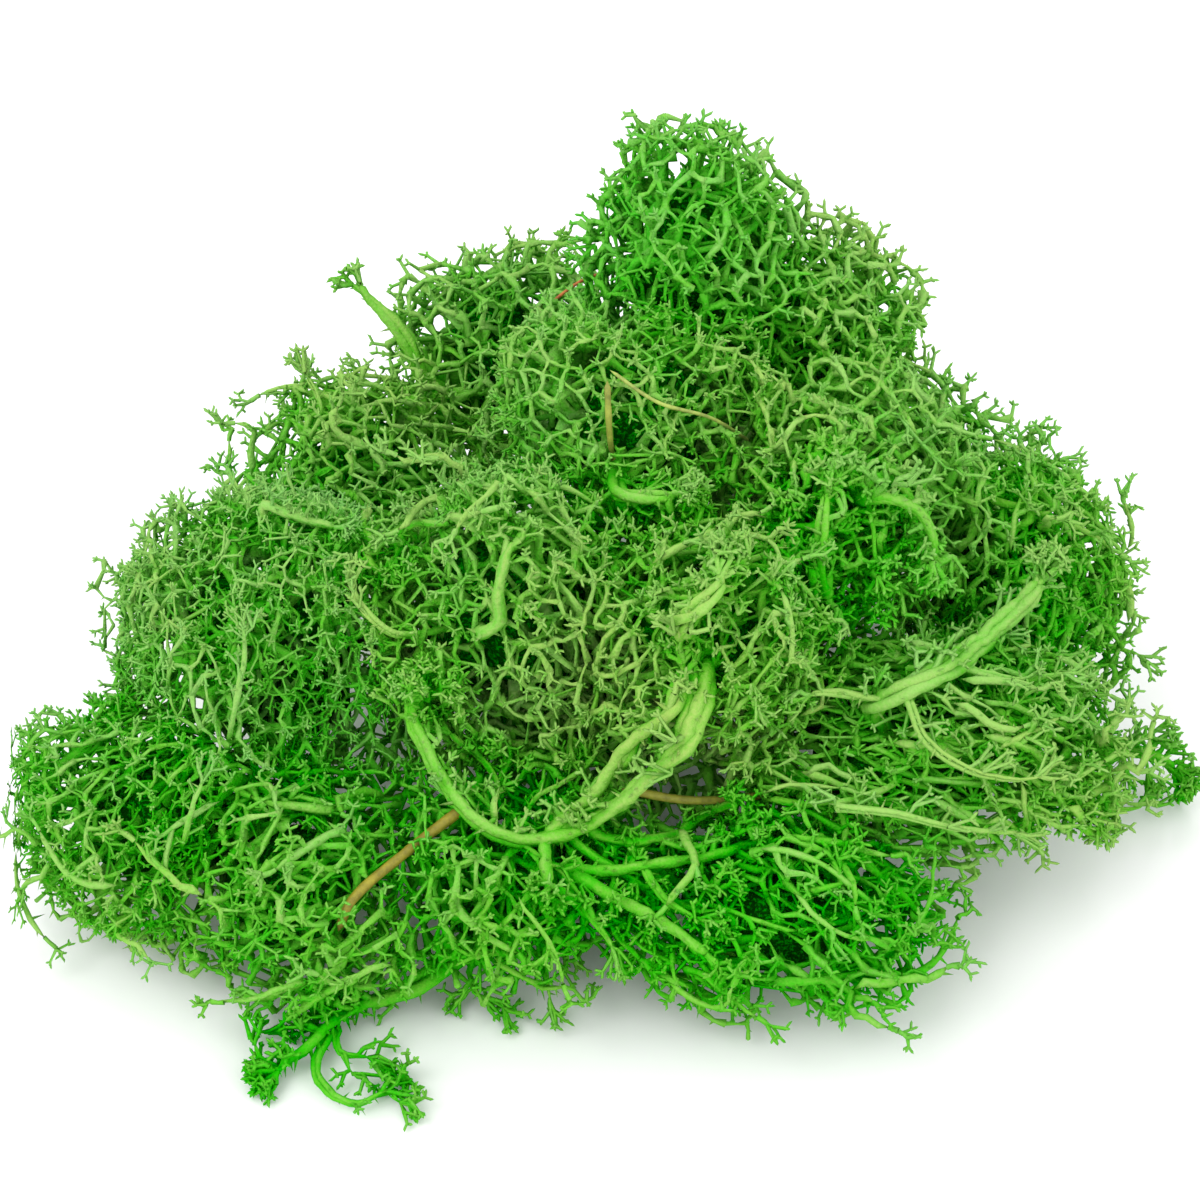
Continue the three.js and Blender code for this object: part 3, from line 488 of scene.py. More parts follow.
def forks_towards(start, tips, walls, seed, found, ends, lead):
    """The branches of the part's tree from a point, as (start, lead, end, radius), and its last tips."""
    if len(tips) == 1:
        ends.append((start, tips[0], lead))
        return
    radius = TWIG_RADIUS * len(tips) ** THICKENING
    middle = tips.mean(0)
    length = REACH * np.linalg.norm(middle - start)
    stray = np.array([chance(seed, place_index(middle), k) - 0.5 for k in range(3)])
    point = start + (middle - start) * REACH + stray * 2 * WANDER * length
    point[2] = max(point[2], 0.8 * radius)
    point = push_inside(point, walls, CELL_GAP + radius)
    found.append((start, lead, point, radius))
    for half in halve(tips):
        forks_towards(point, half, walls, seed, found, ends, unit(point - start))


def along_curve(path, step):
    """Points along three.js's centripetal Catmull-Rom curve, about a step apart."""
    p = np.array(path, float)
    p = np.vstack([2 * p[0] - p[1], p, 2 * p[-1] - p[-2]])
    dense = []
    for i in range(1, len(p) - 2):
        t0, t1, t2 = (max(np.sum((p[i + k + 1] - p[i + k]) ** 2) ** 0.25, 1e-4) for k in (-1, 0, 1))
        m1 = ((p[i] - p[i - 1]) / t0 - (p[i + 1] - p[i - 1]) / (t0 + t1) + (p[i + 1] - p[i]) / t1) * t1
        m2 = ((p[i + 1] - p[i]) / t1 - (p[i + 2] - p[i]) / (t1 + t2) + (p[i + 2] - p[i + 1]) / t2) * t1
        t = np.linspace(0, 1, 24, endpoint=False)[:, None]
        dense.append((2 * t**3 - 3 * t**2 + 1) * p[i] + (t**3 - 2 * t**2 + t) * m1
                     + (3 * t**2 - 2 * t**3) * p[i + 1] + (t**3 - t**2) * m2)
    dense = np.vstack([*dense, p[-2]])
    length = np.concatenate([[0], np.cumsum(np.linalg.norm(np.diff(dense, axis=0), axis=1))])
    places = np.linspace(0, length[-1], max(3, round(length[-1] / step) + 1))
    return np.stack([np.interp(places, length, dense[:, k]) for k in range(3)], 1)


def heap_distance(points):
    """Distance in mm from the heap's skin, which runs smoothly from tuft to tuft; negative inside."""
    near = []
    for centre, radii, *_ in TUFTS.values():
        from_middle = (points - np.array(centre, float)) / np.array(radii, float)
        depth = np.linalg.norm(from_middle, axis=-1)
        near.append(depth * (depth - 1) / np.maximum(np.linalg.norm(from_middle / radii, axis=-1), 1e-9))
    near = np.array(near)
    return -VALLEY * np.log(np.exp(-near / VALLEY).sum(0))


def swell(points):
    """Height in mm of the cushions on the skin."""
    height = 0
    for k, (length, tall) in enumerate(SWELLS):
        p = points * (2 * math.pi / length)
        x, y, z = p[..., 0], p[..., 1], p[..., 2]
        height = height + tall / 3 * (np.sin(x + 0.6 * y + 1.7 * k) + np.sin(y - 0.5 * z + 0.4 * x + k)
                                      + np.sin(z + 0.7 * x - 0.3 * y + 2.6 * k)) * 1.5
    return height


def skin_depth(points):
    """Depth in mm under the cushions' skin."""
    return swell(points) - heap_distance(points)


def heap_outward(points):
    """The direction out of the heap's skin."""
    steps = np.eye(3) * 0.5
    return unit(np.stack([heap_distance(points + d) - heap_distance(points - d) for d in steps], -1))


def sunk(points, depth, least):
    """Points moved along the skin's way out to a depth under it, by at most LONGEST_MOVE."""
    return points - heap_outward(points) * np.clip(depth - skin_depth(points), least, LONGEST_MOVE)[:, None]


def on_skin(trace):
    """The points just under the skin that show at some pixels of the stage's picture."""
    x, y = PIXEL * (np.array(trace, float).T[..., None] - MIDDLE_PIXEL)
    ahead = np.array((0, math.cos(VIEW_HEIGHT), -math.sin(VIEW_HEIGHT)))
    up = np.array((0, math.sin(VIEW_HEIGHT), math.cos(VIEW_HEIGHT)))
    eye = np.array((0, 0, VIEW_AIM)) - VIEW_DISTANCE * ahead
    sight = unit(VIEW_DISTANCE * ahead + x * np.array((1, 0, 0)) - y * up)
    far = np.arange(*SIGHT_RANGE)
    places = eye + far[:, None, None] * sight
    inside = (skin_depth(places) > LIMB_DEPTH) & (places[..., 2] > LIMB_DEPTH)
    far = far[inside.argmax(0)]
    for _ in range(2):  # a limb bends less than the skin
        far[1:-1] = 0.5 * far[1:-1] + 0.25 * (far[:-2] + far[2:])
    points = np.round(eye + far[:, None] * sight, 1)
    return points[points[:, 1] < LIMB_BACK]


def bare_stretches(limbs):
    """Points along all that lies bare and in the hollows, with the ways out of the skin and the room."""
    found = []
    curves = [stem for stems in STEMS.values() for stem in stems if max(stem[0]) >= THICK_STEM]
    curves += [limb for group in limbs.values() for limb in group]
    curves += [(radii, path) for radii, _, path in STRAWS.values()]
    for radii, path in curves:
        line = along_curve(path, 0.7)
        line = line[(skin_depth(line) < 3) & (line[:, 2] > 1)]
        room = np.full(len(line), max(radii) + STEM_ROOM)
        found.append(np.column_stack([line, heap_outward(line), room]))
    hollows = np.array(HOLLOWS)
    found.append(np.column_stack([hollows[:, :3], heap_outward(hollows[:, :3]), hollows[:, 3]]))
    return np.vstack(found)


def over_stems(points, stretches):
    """Whether points lie just over a stem."""
    hidden = np.zeros(len(points), bool)
    for x, y, z, nx, ny, nz, room in stretches:
        away = points - (x, y, z)
        rise = away @ (nx, ny, nz)
        hidden |= (rise > -0.4) & (rise < 7) & ((away**2).sum(1) - rise**2 < room**2)
    return hidden


def nearest_tuft(points):
    return np.argmin([depth_in(name, points) for name in TUFTS], axis=0)


def thinned(points, spacing, kept):
    """Indices of points at least a spacing apart, and from the kept ones, in their order."""
    free = np.ones(len(points), bool)
    for point in kept:
        free &= np.linalg.norm(points - point, axis=1) >= spacing
    chosen = []
    for i in range(len(points)):
        if free[i]:
            chosen.append(i)
            free &= ((points - points[i]) ** 2).sum(1) >= spacing**2
    return chosen


def skin_points(spacing, kept, seed):
    """Points all over the heap's skin."""
    rng = np.random.default_rng(seed)
    points = rng.uniform(*HEAP_BOX, (SKIN_TRIES, 3))
    points = points[np.abs(heap_distance(points)) < 3]
    for _ in range(4):
        points = points - heap_outward(points) * heap_distance(points)[:, None]
    points = points[(points[:, 2] > 3) & (heap_outward(points)[:, 2] > -0.3)]
    return points[thinned(points, spacing, kept)]


def linked(points, longest):
    """Pairs of neighbours: no third point lies nearer to both."""
    apart = np.linalg.norm(points[:, None] - points[None], axis=2)
    i, j = np.nonzero(np.triu(apart < longest, 1))
    free = [np.maximum(apart[a], apart[b]).min(1) >= apart[a, b] - 1e-9
            for a, b in zip(np.array_split(i, 8), np.array_split(j, 8), strict=True)]
    free = np.concatenate(free)
    return i[free], j[free]


# ---------------------------------------------------------------- strands

class Strands:
    """Curved tapering strands, gathered into one mesh. Each stop has a light and a hue from 0 to 1."""

    def __init__(self, seed):
        self.rng = np.random.default_rng(seed)
        self.parts = []
        self.vertices = 0

    def add(self, stops, radii, light, hue, sides, pointed=0, ridge=0.0):
        """stops is (strands, stops, 3), and radii, light and hue are (strands, stops). The last stop of a
        pointed strand is a single vertex, and the first one too where pointed is 2. A ridge makes its
        section uneven, with paler crests that are painted highlights."""
        n, k = stops.shape[:2]
        ahead = np.empty_like(stops)
        ahead[:, 1:-1] = stops[:, 2:] - stops[:, :-2]
        ahead[:, 0] = stops[:, 1] - stops[:, 0]
        ahead[:, -1] = stops[:, -1] - stops[:, -2]
        ahead = unit(ahead)
        side = np.empty_like(stops)
        side[:, 0] = self.rng.normal(size=(n, 3))
        for i in range(k):
            before = side[:, max(i - 1, 0)]
            side[:, i] = unit(before - ahead[:, i] * (before * ahead[:, i]).sum(1, keepdims=True))
        across = np.cross(ahead, side)
        angle = np.arange(sides) * 2 * math.pi / sides
        low, high = int(pointed == 2), k - int(pointed > 0)
        rings = high - low
        uneven = np.zeros((n, rings, sides))
        if ridge:
            drift = np.cumsum(self.rng.normal(size=(n, rings, 3)) * 0.35, axis=1)
            phase = self.rng.random((n, 1, 3)) * TURN + drift
            for lobe, (waves, share) in enumerate(((2, 0.5), (3, 0.6), (5, 0.4))):
                uneven += share * np.sin(waves * angle + phase[:, :, lobe, None])
            uneven += 0.3 * self.rng.normal(size=uneven.shape)
        ringed = np.s_[:, low:high, None]
        wide = (radii[ringed] * (1 + ridge * uneven))[..., None]
        out = side[ringed] * np.cos(angle)[:, None] + across[ringed] * np.sin(angle)[:, None]
        points = stops[ringed] + wide * out
        look = np.stack([light, hue], -1)
        # painted highlights: a ridged strand's crests are paler and warmer
        looks = look[ringed] + 0.5 * ridge * uneven[..., None]
        looks += 0.02 * (self.rng.random((n, rings, sides, 2)) - 0.5)
        # painted light and shade: paler on the side towards TO_LIGHT, darker underneath
        looks[..., 0] += PAINTED_TOP_LIGHT * (out @ TO_LIGHT)
        points, looks = points.reshape(n, -1, 3), looks.reshape(n, -1, 2)
        if pointed:
            points = np.concatenate([points, stops[:, -1:]], 1)
            looks = np.concatenate([looks, look[:, -1:]], 1)
        if pointed == 2:
            points = np.concatenate([points, stops[:, :1]], 1)
            looks = np.concatenate([looks, look[:, :1]], 1)
        each = points.shape[1]
        first = self.vertices + np.arange(n)[:, None, None] * each
        here = np.arange(sides)
        turn = np.roll(here, -1)
        faces = []
        if rings > 1:
            quad = np.stack([here, turn, turn + sides, here + sides], 1)
            quads = np.vstack([quad + i * sides for i in range(rings - 1)])
            faces.append((first + quads).reshape(-1, 4))
        if pointed:
            last = (rings - 1) * sides
            ends = np.stack([last + here, last + turn, np.full(sides, rings * sides)], 1)
            faces.append((first + ends).reshape(-1, 3))
        if pointed == 2:
            ends = np.stack([turn, here, np.full(sides, each - 1)], 1)
            faces.append((first + ends).reshape(-1, 3))
        self.parts.append((points.reshape(-1, 3), looks.reshape(-1, 2), faces))
        self.vertices += n * each

    def lump(self, centre, radii, light, hue):
        """A closed rough ball, which the strands stand out of."""
        ball = bmesh.new()
        bmesh.ops.create_icosphere(ball, subdivisions=3, radius=1)
        points = np.array([v.co[:] for v in ball.verts])
        faces = np.array([[v.index for v in f.verts] for f in ball.faces])
        ball.free()
        bumps = sum(np.sin(points @ self.rng.normal(size=3) * waves + self.rng.random() * TURN)
                    for waves in (4, 6, 9, 13))
        rough = 1 + 0.07 * bumps[:, None] + 0.1 * (self.rng.random((len(points), 1)) - 0.5)
        points = points * rough * radii + centre
        points[:, 2] = np.maximum(points[:, 2], 0.2)
        looks = np.array((light, hue)) + 0.05 * (rough - 1)
        looks += 0.04 * (self.rng.random((len(points), 2)) - 0.5)
        self.parts.append((points, looks, [faces + self.vertices]))
        self.vertices += len(points)

    @property
    def points(self):
        """All vertices, drawn in softly at the clump's left end."""
        points = np.concatenate([p[0] for p in self.parts])
        beyond = np.maximum(LEFT_END - points[:, 0], 0)
        points[:, 0] += beyond - LEFT_ROOM * (1 - np.exp(-beyond / LEFT_ROOM))
        return points

    def mesh(self, name, openness=None):
        """One smooth mesh of all that was added, in metres, with its light and hue on each vertex."""
        points = self.points * MM
        looks = np.concatenate([p[1] for p in self.parts])
        # the cores get the ramp's first green, a painted shade
        core = looks[:, 0] < CORE_LIGHT / 2
        if openness:
            # painted light and shade: places open to the sky are paler, covered ones darker
            looks[:, 0] += openness.light(self.points)
        looks = looks.clip((LEAST_LIGHT, 0.02), 0.98)
        looks[core, 0] = 0
        corners = np.concatenate([f.reshape(-1) for p in self.parts for f in p[2]])
        sizes = np.concatenate([np.full(len(f), f.shape[1]) for p in self.parts for f in p[2]])
        mesh = bpy.data.meshes.new(name)
        mesh.vertices.add(len(points))
        mesh.vertices.foreach_set("co", points.astype(np.float32).ravel())
        mesh.loops.add(len(corners))
        mesh.loops.foreach_set("vertex_index", corners.astype(np.int32))
        mesh.polygons.add(len(sizes))
        mesh.polygons.foreach_set("loop_start", (np.cumsum(sizes) - sizes).astype(np.int32))
        mesh.update(calc_edges=True)
        mesh.polygons.foreach_set("use_smooth", np.ones(len(sizes), bool))
        for k, channel in enumerate(("light", "hue")):
            layer = mesh.attributes.new(channel, "FLOAT", "POINT")
            layer.data.foreach_set("value", looks[:, k].astype(np.float32))
        uv = mesh.uv_layers.new(name="OFBake", do_init=False)
        uv.uv.foreach_set("vector", looks[corners].astype(np.float32).ravel())
        return mesh


class Openness:
    """How much light reaches each place in the clump, on a grid of cells."""

    def __init__(self, points):
        self.low = points.min(0) - 3 * CELL
        cells = ((points - self.low) / CELL).astype(int)
        shape = cells.max(0) + 4
        count = np.bincount(np.ravel_multi_index(cells.T, shape), minlength=np.prod(shape)).reshape(shape)
        cover = (FULL_COVER * (1 - np.exp(-count / FULL_CELL))).astype(np.float32)
        self.open = np.zeros(shape, np.float32)
        for way in LIGHT_WAYS:
            covered = np.zeros(shape, np.float32)
            for step in range(1, LIGHT_STEPS + 1):
                here, there = [], []
                for d, most in zip(way, shape, strict=True):
                    here.append(slice(max(0, -d * step), min(most, most - d * step)))
                    there.append(slice(max(0, d * step), min(most, most + d * step)))
                covered[tuple(here)] += cover[tuple(there)]
            self.open += np.exp(-covered) / len(LIGHT_WAYS)

    def light(self, points):
        place = (points - self.low) / CELL - 0.5
        first = np.floor(place).astype(int)
        share = place - first
        total = 0
        for corner in np.ndindex(2, 2, 2):
            weight = np.prod(np.where(corner, share, 1 - share), axis=1)
            total = total + weight * self.open[tuple((first + corner).T)]
        return np.interp(total, OPEN_RANGE, LIGHT_RANGE)


def bent(start, lead, end, bend, stops):
    """Stops on a curve that leaves its start along its lead."""
    length = np.linalg.norm(end - start, axis=-1, keepdims=True)
    control = start + lead * length * bend
    t = np.linspace(0, 1, stops)[None, :, None]
    return ((1 - t) ** 2 * start[:, None] + 2 * t * (1 - t) * control[:, None] + t**2 * end[:, None]), unit(
        end - control)


class Grower:
    """Grows the fine twigs of one tuft."""

    def __init__(self, name, stretches, sizes):
        self.name = name
        self.stretches = stretches
        self.centre, self.radii = (np.array(x, float) for x in TUFTS[name][:2])
        self.strands = Strands(TUFTS[name][3] + 100)
        self.rng = self.strands.rng
        (self.stars, self.sprouts, self.twig, self.strut, self.prong, self.curl, self.hole, self.hue,
         self.light) = LOOKS[TUFTS[name][4]]
        self.twig *= sizes.twig_thickness
        self.prong *= sizes.prong_length
        self.sunk = in_mm(sizes.dome_depth)

    def shade(self, stops, tone, cluster):
        """Light and hue of stops: deep places are painted dark as shade, stems go yellow and tips stay
        green.
        """
        # painted shade: the deeper under the skin, the darker and cooler the moss
        out = np.clip(1 + heap_distance(stops) / SKIN_LAYER, 0, 1.1)
        swirl = np.sin(stops @ (0.09, 0.05, 0.07)) * np.sin(stops @ (-0.04, 0.11, 0.06) + 2)
        depth_shade, toned, own, swirled = LIGHT_SHARES
        light = depth_shade * out - toned * tone + self.light + cluster[:, :1] * own + swirled * swirl
        # painted light and shade: lighter high up on the heap, darker low down
        light = light + PAINTED_HEIGHT_LIGHT * np.clip(stops[..., 2] / MID_HEIGHT - 1, -1, 1)
        depth_shade, toned, own, swirled = HUE_SHARES
        hue = HUE - toned * tone + self.hue + cluster[:, 1:] * own - depth_shade * (1 - out) + swirled * swirl
        return light, hue

    def grow(self, start, lead, targets, cluster, thick=1.0, root=None):
        """Trees from start, each to its own targets, halving them until each twig ends in a star."""
        m = targets.shape[1]
        before = root
        while True:
            middle = targets.mean(1)
            away = middle - start
            length = np.linalg.norm(away, axis=1, keepdims=True)
            end = middle
            if m > 1:
                end = start + away * 0.45 + self.rng.normal(size=away.shape) * self.curl * length
            end[:, 2] = np.maximum(end[:, 2], 0.15)
            k = 4 if m > 8 else 3 if m > 1 else 2
            stops, ahead = bent(start, lead, end, 0.42, k)
            here = thick * self.twig * m**0.45
            if before is None:
                before = 1.15 * here
            flare = np.interp(np.linspace(0, 1, k), (0, 0.5, 1), (before, 0.86 * here, 0.92 * here))
            radii = flare * (1 + 0.1 * self.rng.normal(size=stops.shape[:2]))
            tone = np.full(stops.shape[:2], 1 - 0.6 * math.log2(m + 1) / math.log2(65))
            sides = 5 if m > 8 else 4 if m > 2 else 3
            self.strands.add(stops, radii, *self.shade(stops, tone, cluster), sides)
            if m == 1:
                break
            before = 0.92 * here
            axis = np.ptp(targets, axis=1).argmax(1)
            key = np.take_along_axis(targets, axis[:, None, None].repeat(m, 1), 2)[..., 0]
            order = np.argsort(key, axis=1)
            targets = np.take_along_axis(targets, order[..., None], 1).reshape(-1, m // 2, 3)
            start, lead, cluster = (np.repeat(x, 2, 0) for x in (end, ahead, cluster))
            m //= 2
        self.star(end, ahead, cluster, thick)

    def star(self, at, lead, cluster, thick):
        """Three short bent prongs round the end of each twig."""
        n = len(at)
        side = unit(np.cross(lead, self.rng.normal(size=(n, 3))))
        across = np.cross(lead, side)
        turn = self.rng.random((n, 1)) * TURN
        for k in range(3):
            angle = turn + k * 2.1 + self.rng.normal(size=(n, 1)) * 0.4
            out = side * np.cos(angle) + across * np.sin(angle)
            long = self.prong * (0.45 + 0.9 * self.rng.random((n, 1)))
            aim = unit(0.45 * lead + out * (0.5 + 0.4 * self.rng.random((n, 1)))
                       + 0.2 * self.rng.normal(size=(n, 3)))
            knee = at + aim * 0.75 * long
            tip = knee + unit(aim + 0.9 * lead + 0.3 * self.rng.normal(size=(n, 3))) * 0.35 * long
            stops = np.stack([at - lead * 0.1, knee, tip], 1)
            stops[:, 1:, 2] = np.maximum(stops[:, 1:, 2], 0.1)
            radii = np.broadcast_to((0.85 * thick * self.twig, 0.85 * thick * self.twig, 0.02), (n, 3))
            tone = np.broadcast_to((0.8, 0.9, 1.0), (n, 3))
            self.strands.add(stops, radii, *self.shade(stops, tone, cluster), 3, pointed=1)

    def sprout(self, at, outward, count, size):
        """Short twigs with a star at the end of each, on every point."""
        at, outward = np.repeat(at, count, 0), np.repeat(outward, count, 0)
        aim = unit(outward + 0.6 * self.rng.normal(size=at.shape))
        stops = np.stack([at, at + aim * size * (0.5 + 0.8 * self.rng.random((len(at), 1)))], 1)
        stops[..., 2] = np.maximum(stops[..., 2], 0.3)
        cluster = self.rng.random((len(at), 2)) - 0.5
        tone = np.broadcast_to((0.5, 0.9), (len(at), 2))
        radii = np.broadcast_to((1.15 * self.twig, 0.9 * self.twig), (len(at), 2))
        self.strands.add(stops, radii, *self.shade(stops, tone, cluster), 4)
        self.star(stops[:, 1], aim, cluster, 1.0)

    def spurs(self, at, along, outward, size, long):
        """A short pointed spur on every point of some strands."""
        n = len(at)
        side = unit(np.cross(along, self.rng.normal(size=(n, 3))) + 0.5 * outward + 0.35 * along)
        long = long * (0.5 + 0.9 * self.rng.random((n, 1)))
        stops = np.stack([at, at + side * long], 1)
        stops[..., 2] = np.maximum(stops[..., 2], 0.3)
        shade = self.shade(stops, np.full((n, 2), 0.3), self.rng.random((n, 2)) - 0.5)
        self.strands.add(stops, np.stack([size, 0.1 * size], 1), *shade, 3, pointed=1)

    def dome(self, start, lead, tip, normal, spread, count, height=0.35, thick=1.0, root=None):
        """A tree to a little dome of stars round each tip."""
        n = len(tip)
        i = np.arange(count)
        angle = i * GOLDEN_ANGLE + self.rng.random((n, 1)) * TURN
        side = unit(np.cross(normal, self.rng.normal(size=(n, 3))))
        across = np.cross(normal, side)
        spread = spread * (0.8 + 0.4 * self.rng.random((n, 1)))
        share = np.sqrt((i + 0.5) / count)
        flat = share * spread * (1 + 0.12 * self.rng.normal(size=(n, count)))
        targets = tip[:, None] + (side[:, None] * (np.cos(angle) * flat)[..., None]
                                  + across[:, None] * (np.sin(angle) * flat)[..., None])
        rise = -height * spread * share**2 + 0.14 * spread * self.rng.normal(size=(n, count))
        targets = targets + normal[:, None] * rise[..., None]
        targets[..., 2] = np.maximum(targets[..., 2], 0.3 + 0.6 * self.rng.random((n, count)))
        self.grow(start, lead, targets, self.rng.random((n, 2)) - 0.5, thick, root)

    def outward(self, points):
        return unit((points - self.centre) / self.radii**2)

    def main_branches(self):
        """The part's own limbs, finer, and a dome on each of its tips."""
        seed = TUFTS[self.name][3]
        walls = cell_walls(self.name)
        found, ends = [], []
        for group in in_groups(tips_over(self.name, walls), BUSH_TIPS):
            aim = unit(group.mean(0) - self.centre)
            root = self.centre + aim * self.radii * CORE_SHARE
            forks_towards(root, group, walls, seed, found, ends, aim)
        start, lead, end = (np.array([f[i] for f in found]) for i in (0, 1, 2))
        size = np.array([f[3] for f in found])
        stops, _ = bent(start, lead, end, 0.4, 5)
        width = size[:, None] * np.array([1.1, 0.95, 0.88, 0.86, 0.9]) * 0.9
        cluster = self.rng.random((len(found), 2)) - 0.5
        tone = np.full(stops.shape[:2], 0.1)
        self.strands.add(stops, width, *self.shade(stops, tone, cluster), 8, ridge=0.12)
        start, tip, lead = (np.array([e[i] for e in ends]) for i in (0, 1, 2))
        tip = sunk(tip, self.sunk, 0)
        normal = unit(heap_outward(tip) + 0.5 * unit(tip - start))
        below = heap_outward(tip)[:, 2] < -0.35
        for some, stars in ((~below & ~over_stems(tip, self.stretches), self.stars), (below, 2)):
            if some.any():
                self.dome(start[some], lead[some], tip[some], normal[some], 0.56 * self.spacing, stars,
                          root=0.8 * TWIG_RADIUS)
        return tip

    @property
    def spacing(self):
        return math.sqrt(4 * math.pi * np.mean(self.radii) ** 2 / TUFTS[self.name][2])

    def covering(self, tips):
        """Domes between the part's tips, over the valleys between the tufts."""
        if len(tips):
            tips = sunk(tips, self.sunk, -2)
            normal = heap_outward(tips)
            start = tips - normal * 5.5 + self.rng.normal(size=tips.shape) * 0.5
            start[:, 2] = np.maximum(start[:, 2], 0.8)
            self.dome(start, unit(normal + 0.3 * self.rng.normal(size=tips.shape)), tips, normal,
                      0.5 * self.spacing, self.stars)

    def net(self, hole, high, low, strut, sprouts):
        """Struts that join neighbouring forks between two depths under the skin, with sprouts on the upper
        ones. It is coarser at the back."""
        rng = self.rng
        points = self.centre + (self.radii + 4) * rng.uniform(-1, 1, (NET_TRIES, 3))
        deep = skin_depth(points)
        points = points[(deep > high) & (deep < low) & (points[:, 2] > 0.8)]
        points = points[nearest_tuft(points) == list(TUFTS).index(self.name)]
        outward = heap_outward(points)
        front = outward @ TO_FRONT > 0
        flow, stretch, _ = FLOWS.get(self.name, ((0, 0, 1), 1.0, 0))
        flow = unit(np.array(flow, float))

        def squeezed(p):
            return (p - (p @ flow)[:, None] * flow * (1 - 1 / stretch)) * stretch ** (1 / 3)

        before, behind = points[front], points[~front & (outward[:, 2] > -0.6)]
        points = np.vstack([before[thinned(squeezed(before), hole, before[:0])],
                            behind[thinned(squeezed(behind), BACK_HOLES * hole, behind[:0])]])
        points = points[~over_stems(points, self.stretches)]
        i, j = linked(squeezed(points), 2 * hole)
        start, end = points[i], points[j]
        outward = heap_outward(points)
        ahead = unit(end - start)
        lead = unit(ahead + 0.5 * outward[i] + (0.3 + 2 * self.curl) * rng.normal(size=start.shape))
        stops, last = bent(start, lead, end, 0.4, 3)
        stops = np.concatenate([start[:, None] - lead[:, None] * 0.6 * strut, stops,
                                end[:, None] + last[:, None] * 0.6 * strut], 1)
        stops[..., 2] = np.maximum(stops[..., 2], 0.3)
        size = strut * (0.65 + 0.8 * rng.random((len(start), 1)) ** 1.5)
        cluster = rng.random((len(start), 2)) - 0.5
        tone = np.full(stops.shape[:2], 0.3)
        uneven = np.array((1, 1.35, 0.78, 1.35, 1)) * (1 + 0.1 * rng.normal(size=tone.shape))
        shade = self.shade(stops, tone, cluster)
        self.strands.add(stops, size * uneven, *shade, 4 if sprouts else 3, pointed=2)
        if sprouts:
            spiky = (skin_depth(stops[:, 2]) < high + hole) & (rng.random(len(start)) < 0.8)
            self.spurs(stops[spiky, 2], ahead[spiky], outward[i][spiky], 0.8 * size[spiky, 0], 0.75)
        top = (skin_depth(points) < high + 0.9 * hole) & (outward[:, 2] > -0.35)
        if sprouts and top.any():
            top[top] = rng.random(top.sum()) < sprouts
            self.sprout(points[top], outward[top], math.ceil(sprouts), 0.7 * hole)

    def combed(self):
        """Long branches that lie along the tuft's flow, with forked ends."""
        if self.name not in FLOWS:
            return
        flow, _, count = FLOWS[self.name]
        flow = unit(np.array(flow, float))
        rng = self.rng
        points = self.centre + (self.radii + 3) * rng.uniform(-1, 1, (FLOW_TRIES, 3))
        deep = skin_depth(points)
        points = points[(deep > 0.2) & (deep < 2.2) & (points[:, 2] > 2)]
        outward = heap_outward(points)
        points = points[(nearest_tuft(points) == list(TUFTS).index(self.name)) & (outward[:, 2] > -0.2)]
        points = points[:2 * count]
        points = points[~over_stems(points, self.stretches)][:count]
        n = len(points)
        stops, turn = [points], rng.normal(size=(n, 3)) * 0.3
        for _ in range(8):
            outward = heap_outward(stops[-1])
            turn = turn + rng.normal(size=(n, 3)) * 0.28
            ahead = flow + turn
            ahead = unit(ahead - outward * (ahead * outward).sum(1, keepdims=True) * 0.85)
            stops.append(stops[-1] + ahead * LYING_STEP)
        stops = np.stack(stops, 1)[:, :6 + int(rng.integers(0, 4))]
        stops[..., 2] = np.maximum(stops[..., 2], 0.8)
        k = stops.shape[1]
        size = 1.2 * self.strut * (0.7 + 0.7 * rng.random((n, 1)))
        radii = size * np.linspace(1.15, 0.75, k) * (1 + 0.12 * rng.normal(size=(n, k)))
        cluster = rng.random((n, 2)) - 0.5 + np.array((0.2, 0.1))
        shade = self.shade(stops, np.full((n, k), 0.1), cluster)
        self.strands.add(stops, radii, *shade, 6, pointed=2, ridge=0.08)
        for place in range(1, k - 1):
            along = unit(stops[:, place + 1] - stops[:, place])
            self.spurs(stops[:, place], along, heap_outward(stops[:, place]), 0.7 * radii[:, place], 1.2)
        for place in (k - 1, k // 2):
            at = stops[:, place]
            lead = unit(stops[:, place] - stops[:, place - 1])
            side = unit(np.cross(lead, rng.normal(size=(n, 3))))
            aim = unit(lead + (0.2 if place == k - 1 else 0.8) * side + 0.2 * heap_outward(at))
            self.dome(at - lead * 0.3, lead, at + aim * 2.4, aim, 1.4, 4, 0.2, root=0.8 * size.mean())

    def core(self):
        """A rough core painted dark as shade, which closes the view into the tuft."""
        self.strands.lump(self.centre, self.radii * CORE_SIZE, CORE_LIGHT, 0.4)

